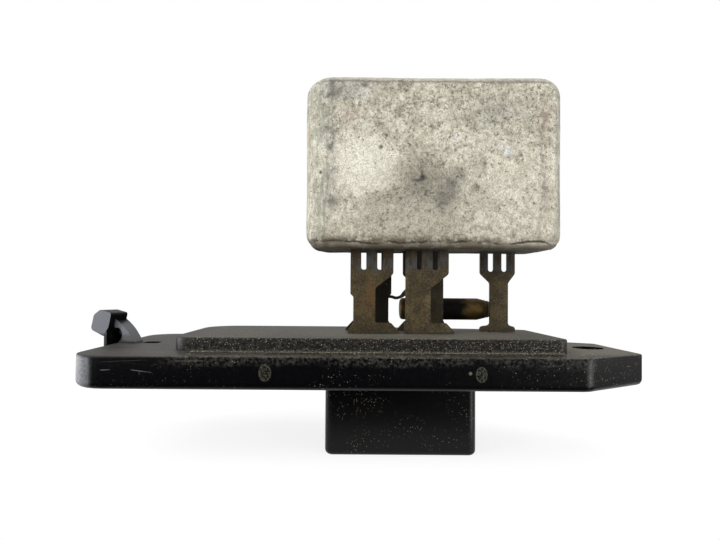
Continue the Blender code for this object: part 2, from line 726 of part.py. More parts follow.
def mouth_outline(clearance):
    """The opening in the can's underside, drawn in by a clearance."""
    lip = CASE_WALL + CASE_MOUTH_LIP + clearance
    return rounded_outline(rectangle(BLOCK_LEFT + lip, BLOCK_RIGHT - lip, BLOCK_FROM_FRONT + lip,
                                     BLOCK_BACK - lip, BLOCK_SIDE_ROUND - lip))


def make_case():
    case = block_body("resistor_case", 0.0)
    inner = block_body("case_inside", CASE_WALL)
    opening = prism("case_mouth", [mouth_outline(0.0)], BLOCK_BOTTOM - CUT_MARGIN,
                    BLOCK_BOTTOM + 2 * CASE_WALL)
    cut(case, inner, opening)
    return case


# Places of the resistance strips, behind the front row and before the rear one
def element_rows():
    shift = SHEET_THICKNESS / 2 + SEAT_GAP + ELEMENT_THICKNESS / 2
    front_taps = []
    rear_taps = [FUSE_TERMINAL_X]
    for name, head_left, y, mirrored, inset in pin_places():
        taps = rear_taps if mirrored else front_taps
        taps.append(head_left + HEAD_WIDTH / 2)
    return [("front_element", FRONT_ROW_Y + shift, front_taps),
            ("rear_element", REAR_ROW_Y - shift, rear_taps)]


def element_span():
    left = BLOCK_LEFT + CASE_WALL + ELEMENT_SIDE_MARGIN
    right = BLOCK_RIGHT - CASE_WALL - ELEMENT_SIDE_MARGIN
    return left, right, BLOCK_BOTTOM + ELEMENT_RISE, BLOCK_TOP - CASE_WALL - ELEMENT_TOP_MARGIN


def make_cement():
    """Potting that fills the can, with room for the prongs and the strips that are set in it."""
    fill = block_body("cement_fill", CASE_WALL + FIT_GAP)
    join(fill, prism("cement_mouth", [mouth_outline(FIT_GAP)], BLOCK_BOTTOM + POTTING_RECESS,
                     BLOCK_BOTTOM + 2 * CASE_WALL + FIT_GAP))
    low = BLOCK_BOTTOM - CUT_MARGIN
    high = PRONG_TOP + FIT_GAP
    half = SHEET_THICKNESS / 2 + FIT_GAP
    heads = [(left, left + HEAD_WIDTH, y) for name, left, y, mirrored, inset in pin_places()]
    heads.append((FUSE_TERMINAL_X - FUSE_HEAD_WIDTH / 2, FUSE_TERMINAL_X + FUSE_HEAD_WIDTH / 2, REAR_ROW_Y))
    for index, (left, right, y) in enumerate(heads):
        corners = rectangle(left - FIT_GAP, right + FIT_GAP, y - half, y + half)
        cut(fill, prism(f"prong_slot_{index}", [rounded_outline(corners)], low, high))
    left, right, bottom, top = element_span()
    for name, y, taps in element_rows():
        gap = ELEMENT_THICKNESS / 2 + FIT_GAP
        corners = rectangle(left - FIT_GAP, right + FIT_GAP, y - gap, y + gap)
        cut(fill, prism(name + "_slot", [rounded_outline(corners)], TAB_LOW - FIT_GAP, top + FIT_GAP))
    return fill


def widened(path, width):
    """The outline of a flat strip of even width along an open path."""
    near, far = [], []
    for index, point in enumerate(path):
        arriving = (point - path[index - 1]).normalized() if index else None
        leaving = (path[index + 1] - point).normalized() if index + 1 < len(path) else None
        arriving = arriving or leaving
        leaving = leaving or arriving
        normals = Vector((-arriving.y, arriving.x)) + Vector((-leaving.y, leaving.x))
        shift = normals * (width / normals.length_squared)
        near.append(point + shift)
        far.append(point - shift)
    return near + far[::-1]


def serpentine(left, right, bottom, top):
    """A flat strip that runs up and down from left to right."""
    half = ELEMENT_STRIP / 2
    pitch = (right - left - ELEMENT_STRIP) / (ELEMENT_RUNS - 1)
    path = []
    for run in range(ELEMENT_RUNS):
        x = left + half + run * pitch
        ends = [Vector((x, bottom + half)), Vector((x, top - half))]
        path += ends if run % 2 == 0 else ends[::-1]
    return widened(path, ELEMENT_STRIP)


def make_elements():
    made = []
    left, right, bottom, top = element_span()
    half = ELEMENT_TAB_WIDTH / 2
    tab_high = bottom + ELEMENT_STRIP / 2
    for name, y, taps in element_rows():
        strip = sheet(name, serpentine(left, right, bottom, top), y, ELEMENT_THICKNESS)
        for index, x in enumerate(taps):
            tab = [(x - half, TAB_LOW), (x + half, TAB_LOW), (x + half, tab_high), (x - half, tab_high)]
            join(strip, sheet(f"{name}_tab_{index}", tab, y, ELEMENT_THICKNESS))
        made.append(strip)
    return made


# Thermal fuse: a turned can, its seal, and two bent leads
def turned(name, profile, y, z):
    """Rings of a profile of (x, radius) round an axis along x."""
    rings = []
    for x, radius in profile:
        rings.append([Vector((x, y + radius * math.cos(math.tau * side / FUSE_SIDES),
                              z + radius * math.sin(math.tau * side / FUSE_SIDES)))
                      for side in range(FUSE_SIDES)])
    return loft(name, rings)


def rounded_end(end, direction, radius, round_radius):
    """Profile points of a quarter round that closes in towards an end of the fuse."""
    points = []
    for step in range(CAP_STEPS + 1):
        angle = math.pi / 2 * step / CAP_STEPS
        points.append((end - direction * round_radius * (1 - math.sin(angle)),
                       radius - round_radius * (1 - math.cos(angle))))
    return points


def fuse_profile():
    radius = FUSE_DIAMETER / 2
    left_end = rounded_end(FUSE_LEFT, -1, radius, FUSE_END_ROUND)
    taper_start = (FUSE_RIGHT - FUSE_TAPER_LENGTH, radius)
    nose = rounded_end(FUSE_RIGHT, 1, radius - FUSE_TAPER_DEPTH, FUSE_NOSE_ROUND)
    return [*left_end[::-1], taper_start, *nose]


def seal_profile():
    left = FUSE_RIGHT + SEAT_GAP
    return [(left + SEAL_LENGTH * along, SEAL_DIAMETER / 2 * share) for along, share in SEAL_PROFILE]


def smooth_route(points):
    """A Catmull-Rom curve through the points."""
    route = []
    padded = [points[0] * 2 - points[1], *points, points[-1] * 2 - points[-2]]
    for index in range(1, len(padded) - 2):
        a, b, c, d = padded[index - 1:index + 3]
        for step in range(ROUTE_STEPS):
            t = step / ROUTE_STEPS
            route.append(0.5 * (2 * b + (c - a) * t + (2 * a - 5 * b + 4 * c - d) * t ** 2
                                + (3 * b - a - 3 * c + d) * t ** 3))
    route.append(points[-1])
    return route


def wire(name, stations):
    """A round wire along stations of (x, y, z, diameter), as rings square to its route."""
    route = smooth_route([Vector(station) for station in stations])
    rings = []
    side = None
    for index, point in enumerate(route):
        ahead = (route[min(index + 1, len(route) - 1)] - route[max(index - 1, 0)]).to_3d()
        ahead.normalize()
        if side is None:
            side = ahead.orthogonal().normalized()
        side = (side - ahead * side.dot(ahead)).normalized()
        other = ahead.cross(side)
        radius = point[3] / 2
        rings.append([point.to_3d() + (side * math.cos(math.tau * k / LEAD_SIDES)
                                       + other * math.sin(math.tau * k / LEAD_SIDES)) * radius
                      for k in range(LEAD_SIDES)])
    return loft(name, rings)


def left_lead_stations():
    """Along the rear left terminal, over with a slight sag, and down on the fuse in a thick arch."""
    weld_z = FUSE_Z + LEAD_RISE
    middle_y = (FUSE_Y + LEAD_Y) / 2
    rest_z = FUSE_Z + FUSE_DIAMETER / 2 + LEAD_ARCH_WIDTH / 2 + SEAT_GAP
    sag_x = (REAR_ROW_RIGHT + FUSE_LEFT) / 2
    arch = FUSE_LEFT + LEAD_ARCH_STEP
    return [
        (REAR_ROW_RIGHT - LEAD_OVERLAP, LEAD_Y, weld_z, LEAD_DIAMETER),
        (REAR_ROW_RIGHT, LEAD_Y, weld_z, LEAD_DIAMETER),
        (sag_x, LEAD_Y, weld_z - LEAD_SAG, LEAD_DIAMETER),
        (FUSE_LEFT, LEAD_Y, weld_z, LEAD_DIAMETER),
        (arch, middle_y, weld_z + LEAD_ARCH_RISE / 2, LEAD_ARCH_WIDTH),
        (arch + LEAD_ARCH_STEP, FUSE_Y, weld_z + LEAD_ARCH_RISE, LEAD_ARCH_WIDTH),
        (arch + 2 * LEAD_ARCH_STEP, FUSE_Y, weld_z + LEAD_ARCH_RISE, LEAD_ARCH_WIDTH),
        (arch + 4 * LEAD_ARCH_STEP, FUSE_Y, rest_z, LEAD_ARCH_WIDTH),
    ]


def right_lead_stations():
    """Out of the seal, forward to the back of the fuse terminal and along it."""
    start = FUSE_RIGHT + SEAL_LENGTH + 2 * SEAT_GAP
    end = FUSE_STEM_X + FUSE_STEM_WIDTH / 2 - LEAD_BEND
    return [
        (start, FUSE_Y, FUSE_Z, LEAD_DIAMETER),
        (start + LEAD_BEND, FUSE_Y, FUSE_Z, LEAD_DIAMETER),
        (start + 2 * LEAD_BEND, LEAD_Y, FUSE_Z, LEAD_DIAMETER),
        (end, LEAD_Y, FUSE_Z, LEAD_DIAMETER),
    ]


def make_fuse():
    return (turned("thermal_fuse_case", fuse_profile(), FUSE_Y, FUSE_Z),
            turned("thermal_fuse_seal", seal_profile(), FUSE_Y, FUSE_Z),
            wire("thermal_fuse_lead_left", left_lead_stations()),
            wire("thermal_fuse_lead_right", right_lead_stations()))


def overall_middle():
    """The middle of the part's box in x and y, from the lug's outermost corner to the right end."""
    reach = min(lug_place(u, z, w).x for u, z, w in
                [(p.x, p.y, w) for p in rounded_outline(LUG_HEAD)
                 for w in (-LUG_HEAD_FORWARD, LUG_HEAD_BACKWARD)])
    return (reach + RIGHT) / 2, FLANGE_DEPTH / 2


def main():
    clear_scene()
    plastic = ("black_plastic", (0.012, 0.012, 0.014), 0.42)
    steel = ("rusty_steel", (0.16, 0.12, 0.09), 0.6, 0.7)
    finishes = {
        "base_plate": plastic,
        "resistor_case": ("oxidised_aluminium", (0.58, 0.56, 0.50), 0.62, 0.4),
        "cement_fill": ("potting_cement", (0.20, 0.19, 0.15), 0.9),
        "front_element": ("resistance_alloy", (0.30, 0.29, 0.27), 0.5, 0.8),
        "rear_element": ("resistance_alloy", (0.30, 0.29, 0.27), 0.5, 0.8),
        "thermal_fuse_case": ("fuse_brass", (0.30, 0.20, 0.08), 0.45, 0.8),
        "thermal_fuse_seal": ("fuse_seal", (0.45, 0.42, 0.38), 0.6),
        "thermal_fuse_lead_left": ("lead_wire", (0.25, 0.22, 0.19), 0.5, 0.7),
        "thermal_fuse_lead_right": ("lead_wire", (0.25, 0.22, 0.19), 0.5, 0.7),
    }
    made = [make_base_plate(), make_case(), make_cement(), *make_elements()]
    for name, head_left, y, mirrored, inset in pin_places():
        made.append(sheet(name, pin_outline(head_left, mirrored, inset), y))
    made.append(sheet("terminal_fuse", fuse_terminal_outline(), REAR_ROW_Y))
    made += make_fuse()
    frame = bpy.data.objects.new("part_frame", None)
    bpy.context.scene.collection.objects.link(frame)
    middle_x, middle_y = overall_middle()
    frame.location = (-middle_x, -middle_y, 0.0)
    for piece in bpy.data.objects:
        if piece is not frame:
            piece.parent = frame
    for piece in made:
        piece.data.materials.append(material(*finishes.get(piece.name, steel)))
    bpy.context.view_layer.update()


main()
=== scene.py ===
"""The finish, wear, dirt and light of a blower motor resistor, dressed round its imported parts.

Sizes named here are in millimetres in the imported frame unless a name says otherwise; meshes and
lights are in metres. x runs along the flange, y from its front to its back and z up.
"""

import math
import random

import bmesh
import bpy
from mathutils import Matrix, Vector, noise


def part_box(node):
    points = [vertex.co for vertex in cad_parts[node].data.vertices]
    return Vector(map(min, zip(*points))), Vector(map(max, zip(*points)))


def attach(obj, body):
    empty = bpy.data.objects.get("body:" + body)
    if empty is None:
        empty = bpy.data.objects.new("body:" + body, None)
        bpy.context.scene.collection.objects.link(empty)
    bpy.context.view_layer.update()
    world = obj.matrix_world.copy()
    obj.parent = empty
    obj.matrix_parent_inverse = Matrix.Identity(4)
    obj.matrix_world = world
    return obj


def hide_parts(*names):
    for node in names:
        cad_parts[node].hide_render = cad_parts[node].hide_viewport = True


MM = 0.001

# Camera, from the photograph's frame of 720 by 540 pixels
PHOTO_WIDTH = 720
PHOTO_HEIGHT = 540
FOCAL_LENGTH_PIXELS = 560.0
VIEW_CENTRE_X = 345.0
VIEW_CENTRE_Y = 280.0
SENSOR_WIDTH = 36.0
CAMERA_PLACE = (-0.15, -107.25, 28.59)
CAMERA_PITCH = math.radians(1.0)
CAMERA_ROLL = math.radians(0.40)
CLIP_START = 0.002
CLIP_END = 10.0

# Stage: a pale round floor in a white room, which mirrors show dark on the camera's side
FLOOR_RADIUS = 130.0
FLOOR_CENTRE_Y = 106.0
FLOOR_SIDES = 96
FLOOR_TONE = 0.80
FLOOR_SEEN_TONE = 0.26
FLOOR_SEEN_GLOW = 0.84
AMBIENT_STRENGTH = 0.56
MIRRORED_FRONT = 0.015
MIRRORED_BACK = 0.55
MIRRORED_DARK_BELOW = -0.35
MIRRORED_BRIGHT_ABOVE = 0.55

# Softboxes: name, place, point they face, width, height, radiance, and whether they light matt faces
SOFTBOXES = (
    ("key_left", (-420.0, -330.0, 300.0), (0.0, 0.0, 40.0), 380.0, 380.0, 4.4, True),
    ("fill_right", (430.0, -330.0, 240.0), (0.0, 0.0, 40.0), 340.0, 340.0, 3.2, True),
    ("side_left", (-430.0, 20.0, 90.0), (-30.0, 0.0, 20.0), 300.0, 260.0, 2.1, True),
    ("side_right", (380.0, -60.0, 90.0), (40.0, 0.0, 20.0), 90.0, 200.0, 1.6, True),
    ("top_back", (0.0, 170.0, 480.0), (0.0, 0.0, 40.0), 420.0, 300.0, 0.9, True),
    ("card_left", (-420.0, 150.0, -20.0), (-44.0, -16.0, 18.0), 420.0, 260.0, 2.2, False),
    ("card_right", (420.0, -300.0, -50.0), (38.0, -21.0, 16.0), 150.0, 200.0, 12.0, False),
)

# Places of features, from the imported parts
BLOCK_WALL_FRONT = 7.95
CREASE_LEFT = -2.50
CREASE_RIGHT = 35.20
CREASE_TOP = 66.0
SEAM_HEIGHT = 37.1
CREASE_WIDTH = 0.35
FLANGE_FRONT = -21.65
FLANGE_TOP = 18.26
STEP_FRONT = -14.95
STEP_TOP = 20.61
PLASTIC_GLOSS = 0.20

# The can's mesh and how far its surface is worn in
VOXEL = 0.34
WAVE_SIZE = 9.0
WAVE_DEPTH = 0.22
DENT_SIZE = 2.6
DENT_DEPTH = 0.07
GRAIN_SIZE = 0.75
GRAIN_DEPTH = 0.030
CREASE_DEPTH = 0.10
CREASE_WANDER = 0.35
SEAM_DEPTH = 0.26
SEAM_WANDER = 0.30
PIT_COUNT = 420
PIT_SEED = 11
PIT_RADII = (0.25, 0.55)
PIT_DEPTH_SHARES = (0.15, 0.35)
PIT_CELL = 2.0

# Single marks on the can's front: name, x, z, radius and depth
FRONT_MARKS = (
    ("star", 13.6, 48.6, 0.65, 0.22),
    ("hook", 14.65, 52.69, 0.55, 0.12),
    ("ring", 14.15, 45.9, 0.55, 0.10),
    ("pit_a", 6.1, 54.13, 0.38, 0.18),
    ("pit_left", -4.64, 49.58, 0.42, 0.16),
    ("spot_top", 3.18, 65.15, 0.60, 0.10),
    ("spot_middle_top", 10.67, 64.3, 0.40, 0.12),
)

# Mould marks on the flange's front: x, z, half width and half height
MOULD_OVALS = (
    (-12.29, 15.82, 1.05, 1.42),
    (20.79, 15.75, 0.95, 1.30),
)

# Dust crumbs along the step's foot, on the ledge and on the step's face
FOOT_CRUMBS = 1500
LEDGE_CRUMBS = 700
FACE_CRUMBS = 420
CRUMB_PLACE_SEED = 5
CRUMB_SHAPE_SEED = 6

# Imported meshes: gap over which vertices join, angle left sharp, and the terminals' broken edges
JOIN_GAP = 0.002
SHARP_ANGLE = math.radians(32)
BROKEN_EDGE = 0.05
BROKEN_EDGE_ANGLE = math.radians(40)


def metres(place):
    return Vector(place) * MM


def smooth_share(value, low, high):
    share = min(max((value - low) / (high - low), 0.0), 1.0)
    return share * share * (3 - 2 * share)


# Materials: a Principled shader with short ways to lay noise, marks and dirt over it
class Finish:
    def __init__(self, name):
        self.made = bpy.data.materials.new(name)
        self.made.use_nodes = True
        self.tree = self.made.node_tree
        self.shader = self.tree.nodes["Principled BSDF"]
        coordinates = self.node("ShaderNodeTexCoord")
        scaled = self.node("ShaderNodeVectorMath", operation="SCALE")
        self.tree.links.new(coordinates.outputs["Object"], scaled.inputs[0])
        scaled.inputs["Scale"].default_value = 1 / MM
        self.place = scaled.outputs["Vector"]
        self.x, self.y, self.z = self.split(self.place)
        self.facing = self.split(coordinates.outputs["Normal"])

    def node(self, kind, **settings):
        made = self.tree.nodes.new(kind)
        for name, value in settings.items():
            setattr(made, name, value)
        return made

    def feed(self, socket, value):
        if isinstance(value, bpy.types.NodeSocket):
            self.tree.links.new(value, socket)
        elif isinstance(value, tuple) and len(value) == 3 and socket.type == "RGBA":
            socket.default_value = (*value, 1.0)
        else:
            socket.default_value = value

    def split(self, vector):
        made = self.node("ShaderNodeSeparateXYZ")
        self.feed(made.inputs[0], vector)
        return made.outputs[0], made.outputs[1], made.outputs[2]

    def math(self, operation, first, second=0.0, clamp=False):
        made = self.node("ShaderNodeMath", operation=operation, use_clamp=clamp)
        self.feed(made.inputs[0], first)
        self.feed(made.inputs[1], second)
        return made.outputs[0]

    def product(self, first, *others):
        for other in others:
            first = self.math("MULTIPLY", first, other)
        return first

    def total(self, first, *others):
        for other in others:
            first = self.math("ADD", first, other)
        return first

    def limit(self, value):
        return self.math("ADD", value, 0.0, clamp=True)

    def ramp(self, value, low, high, start=0.0, end=1.0):
        """A smooth change from start to end as the value goes from low to high."""
        made = self.node("ShaderNodeMapRange", interpolation_type="SMOOTHSTEP")
        self.feed(made.inputs["Value"], value)
        made.inputs["From Min"].default_value = low
        made.inputs["From Max"].default_value = high
        made.inputs["To Min"].default_value = start
        made.inputs["To Max"].default_value = end
        return made.outputs["Result"]

    def mix(self, share, first, second, blend="MIX"):
        made = self.node("ShaderNodeMix", data_type="RGBA", blend_type=blend)
        self.feed(made.inputs["Factor"], share)
        colours = [socket for socket in made.inputs if socket.type == "RGBA"]
        self.feed(colours[0], first)
        self.feed(colours[1], second)
        return [socket for socket in made.outputs if socket.type == "RGBA"][0]

    def stretched(self, stretch, shift=(0.0, 0.0, 0.0)):
        made = self.node("ShaderNodeVectorMath", operation="MULTIPLY_ADD")
        self.feed(made.inputs[0], self.place)
        made.inputs[1].default_value = [1 / share for share in stretch]
        made.inputs[2].default_value = shift
        return made.outputs["Vector"]

    def noise(self, size, detail=3.0, roughness=0.55, stretch=(1.0, 1.0, 1.0), shift=(0.0, 0.0, 0.0),
              distortion=0.0):
        made = self.node("ShaderNodeTexNoise")
        self.feed(made.inputs["Vector"], self.stretched(stretch, shift))
        made.inputs["Scale"].default_value = 1 / size
        made.inputs["Detail"].default_value = detail
        made.inputs["Roughness"].default_value = roughness
        made.inputs["Distortion"].default_value = distortion
        return made.outputs["Fac"]

    def specks(self, size, share, reach, shift=(0.0, 0.0, 0.0), stretch=(1.0, 1.0, 1.0)):
        """Small dots, in a share of the cells of a pattern of the given size."""
        made = self.node("ShaderNodeTexVoronoi")
        self.feed(made.inputs["Vector"], self.stretched(stretch, shift))
        made.inputs["Scale"].default_value = 1 / size
        red, green, blue = self.split(made.outputs["Color"])
        chosen = self.ramp(red, 1 - share, 1 - share + 0.02)
        reach_here = self.math("MULTIPLY", self.ramp(green, 0.0, 1.0, 0.5, 1.0), reach)
        away = self.math("DIVIDE", made.outputs["Distance"], reach_here)
        dot = self.math("SUBTRACT", 1.0, away, clamp=True)
        return self.product(chosen, self.ramp(dot, 0.0, 0.6))

    def spot(self, centre, radii, inner=0.0):
        """One at a place, falling to nothing at its radii."""
        shifted = self.node("ShaderNodeVectorMath", operation="SUBTRACT")
        self.feed(shifted.inputs[0], self.place)
        shifted.inputs[1].default_value = centre
        scaled = self.node("ShaderNodeVectorMath", operation="DIVIDE")
        self.feed(scaled.inputs[0], shifted.outputs["Vector"])
        scaled.inputs[1].default_value = radii
        length = self.node("ShaderNodeVectorMath", operation="LENGTH")
        self.feed(length.inputs[0], scaled.outputs["Vector"])
        return self.ramp(length.outputs["Value"], inner, 1.0, 1.0, 0.0)

    def band(self, value, centre, half_width):
        """One where a value is at the centre, falling to nothing at the half width."""
        away = self.math("ABSOLUTE", self.math("SUBTRACT", value, centre))
        return self.ramp(away, 0.0, half_width, 1.0, 0.0)

    def stroke(self, start, end, half_width):
        """A thin line on a face across y, from one (x, z) to another."""
        along = Vector(end) - Vector(start)
        length = along.length
        along.normalize()
        dx = self.math("SUBTRACT", self.x, start[0])
        dz = self.math("SUBTRACT", self.z, start[1])
        run = self.total(self.product(dx, along.x), self.product(dz, along.y))
        off = self.total(self.product(dx, -along.y), self.product(dz, along.x))
        inside = self.product(self.ramp(run, 0.0, length * 0.2),
                              self.ramp(run, length * 0.8, length, 1.0, 0.0))
        return self.product(inside, self.band(off, 0.0, half_width))

    def bump(self, height, distance, strength=1.0):
        made = self.node("ShaderNodeBump")
        self.feed(made.inputs["Height"], height)
        made.inputs["Distance"].default_value = distance * MM
        made.inputs["Strength"].default_value = strength
        self.tree.links.new(made.outputs["Normal"], self.shader.inputs["Normal"])

    def set(self, **values):
        for name, value in values.items():
            self.feed(self.shader.inputs[name.replace("_", " ").title()], value)


def black_plastic():
    """Moulded black plastic with grazing gloss, dust that has settled, gold specks, scratches and painted
    highlights on the left corner and the lug.
    """
    finish = Finish("black_plastic_dusty")
    up = finish.product(finish.ramp(finish.facing[2], 0.35, 0.95),
                        finish.ramp(finish.z, 21.0, 21.8, 1.0, 0.0))
    fine = finish.noise(0.5, 4.0, 0.65)
    coarse = finish.noise(6.0, 4.0, 0.6, (2.0, 1.0, 1.0))
    on_step = finish.product(finish.ramp(finish.z, FLANGE_TOP - 0.1, FLANGE_TOP + 0.15),
                             finish.ramp(finish.y, STEP_FRONT - 1.2, STEP_FRONT - 0.5),
                             finish.ramp(finish.x, -29.0, -24.5))
    foot = finish.product(finish.band(finish.z, FLANGE_TOP + 0.05, 0.45),
                          finish.band(finish.y, STEP_FRONT, 0.9), finish.ramp(finish.x, -29.0, -25.5))
    ledge = finish.product(up, finish.ramp(finish.y, STEP_FRONT - 0.5, STEP_FRONT + 1.0, 1.0, 0.0),
                           finish.ramp(finish.x, -29.0, -25.0))
    front_face = finish.ramp(finish.y, FLANGE_FRONT + 0.9, FLANGE_FRONT + 0.3)
    edge_wander = finish.total(finish.z, finish.ramp(coarse, 0.3, 0.7, -0.6, 0.6))
    under_edge = finish.product(front_face, finish.ramp(edge_wander, FLANGE_TOP - 1.8, FLANGE_TOP - 0.6),
                                finish.ramp(finish.x, -30.0, -24.0))
    dust = finish.limit(finish.total(
        finish.product(up, finish.ramp(coarse, 0.25, 0.75, 0.22, 0.46)),
        finish.product(ledge, finish.ramp(fine, 0.35, 0.7, -0.34, 0.10)),
        finish.product(on_step, finish.ramp(fine, 0.35, 0.75, 0.05, 0.34)),
        finish.product(foot, finish.ramp(fine, 0.3, 0.6, 0.05, 0.45)),
        finish.product(under_edge, finish.ramp(fine, 0.4, 0.65, 0.0, 0.22)),
        finish.product(up, finish.spot((43.0, -6.0, FLANGE_TOP), (12.0, 14.0, 3.0), 0.3), 0.80),
        finish.product(up, finish.spot((14.0, -4.0, STEP_TOP), (26.0, 16.0, 1.2), 0.5),
                       finish.ramp(fine, 0.35, 0.65, 0.30, 0.62))))
    grains = finish.specks(0.42, 0.30, 0.34)
    grain_field = finish.limit(finish.total(finish.product(on_step, 0.9), finish.product(ledge, 0.6),
                                            finish.product(finish.ramp(coarse, 0.46, 0.62, 0.0, 0.6),
                                                           finish.ramp(finish.x, -30.0, -12.0, 0.25, 1.0))))
    grain = finish.product(grains, grain_field)
    tiny = finish.product(finish.specks(0.22, 0.18, 0.36, (7.0, 3.0, 1.0)), grain_field)
    ovals = []
    for x, z, width, height in MOULD_OVALS:
        inside = finish.spot((x, FLANGE_FRONT, z), (width, 1.0, height), 0.82)
        core = finish.spot((x, FLANGE_FRONT, z), (width * 0.85, 0.9, height * 0.88), 0.82)
        worn = finish.ramp(finish.noise(0.30, 3.0, 0.6, shift=(x, 0.0, 0.0)), 0.42, 0.60, 0.0, 0.34)
        rim = finish.math("SUBTRACT", inside, core, clamp=True)
        ovals.append(finish.total(finish.product(inside, worn), finish.product(rim, 0.22)))
    marks = finish.limit(finish.total(
        *ovals, finish.product(finish.spot((19.08, FLANGE_FRONT, 15.93), (0.30, 1.0, 0.32), 0.7), 0.8)))
    broken = finish.ramp(fine, 0.38, 0.52, 0.35, 1.0)
    scratches = finish.limit(finish.total(
        finish.product(finish.stroke((-37.55, 16.10), (-35.75, 16.18), 0.085), broken),
        finish.product(finish.stroke((-32.98, 16.20), (-29.37, 15.76), 0.085), broken),
        finish.product(finish.stroke((-26.4, 17.55), (-21.3, 17.6), 0.10), 0.45),
        finish.product(finish.stroke((-31.6, 16.0), (-31.3, 15.4), 0.07), 0.5),
        finish.product(finish.stroke((-38.3, 17.3), (-30.0, 17.7), 0.06), 0.2),
        finish.product(finish.stroke((30.2, 19.25), (33.0, 19.1), 0.10), 0.5)))
    scratches = finish.product(scratches, finish.ramp(finish.y, -12.0, -14.0))
    colour = finish.mix(dust, (0.0012, 0.0012, 0.0020), (0.160, 0.147, 0.120))
    # Painted highlight: bluish grey on the left-facing faces of the flange's left corner, broken up by noise.
    corner = finish.product(finish.ramp(finish.facing[0], -0.20, -0.42), finish.ramp(finish.y, -15.0, -17.0),
                            finish.ramp(finish.x, -36.0, -38.0), finish.ramp(finish.z, 18.2, 17.7))
    painted_corner_highlight = finish.product(corner, finish.ramp(fine, 0.36, 0.60, 0.55, 1.0))
    colour = finish.mix(painted_corner_highlight, colour, (0.170, 0.178, 0.195))
    # Painted highlight: bluish grey on the lug's arm, strongest on its upper faces.
    painted_arm_highlight = finish.product(finish.spot((-40.4, -1.0, 20.6), (3.4, 8.0, 3.4), 0.6),
                         finish.ramp(finish.z, 22.9, 22.5), finish.ramp(finish.x, -43.0, -42.4),
                         finish.ramp(finish.facing[2], -0.5, 0.4, 0.3, 1.0),
                         finish.ramp(finish.z, FLANGE_TOP + 0.1, FLANGE_TOP + 0.5))
    colour = finish.mix(finish.product(painted_arm_highlight, 0.60), colour, (0.170, 0.174, 0.188))
    # Painted highlight: bluish grey on the left-facing faces of the lug's end.
    painted_lug_highlight = finish.product(finish.ramp(finish.facing[0], -0.2, -0.42), finish.ramp(finish.z, 19.4, 20.2),
                             finish.ramp(finish.x, -34.0, -36.0))
    colour = finish.mix(finish.product(painted_lug_highlight, 0.75), colour, (0.170, 0.180, 0.205))
    brown = finish.product(up, finish.ramp(finish.x, 27.0, 33.0),
                           finish.ramp(finish.z, STEP_TOP - 0.6, STEP_TOP - 0.2))
    colour = finish.mix(finish.product(brown, 0.55), colour, (0.062, 0.050, 0.032))
    colour = finish.mix(grain, colour, (0.42, 0.36, 0.25))
    colour = finish.mix(tiny, colour, (0.62, 0.56, 0.42))
    colour = finish.mix(finish.product(marks, 0.60), colour, (0.24, 0.23, 0.16))
    colour = finish.mix(finish.product(scratches, 0.85), colour, (0.17, 0.17, 0.17))
    rough = finish.total(finish.ramp(fine, 0.2, 0.8, 0.30, 0.42), finish.product(dust, 0.35))
    rough = finish.limit(finish.total(rough, finish.product(marks, 0.3), finish.product(grain, 0.3)))
    finish.bump(finish.total(finish.product(finish.noise(0.16, 3.0, 0.7), 0.35), finish.product(grain, 1.2),
                             finish.product(marks, 1.2), finish.product(dust, fine),
                             finish.product(scratches, -0.8)), 0.035)
    finish.set(base_color=colour, roughness=rough)
    finish.shader.inputs["Specular IOR Level"].default_value = PLASTIC_GLOSS
    return finish.made


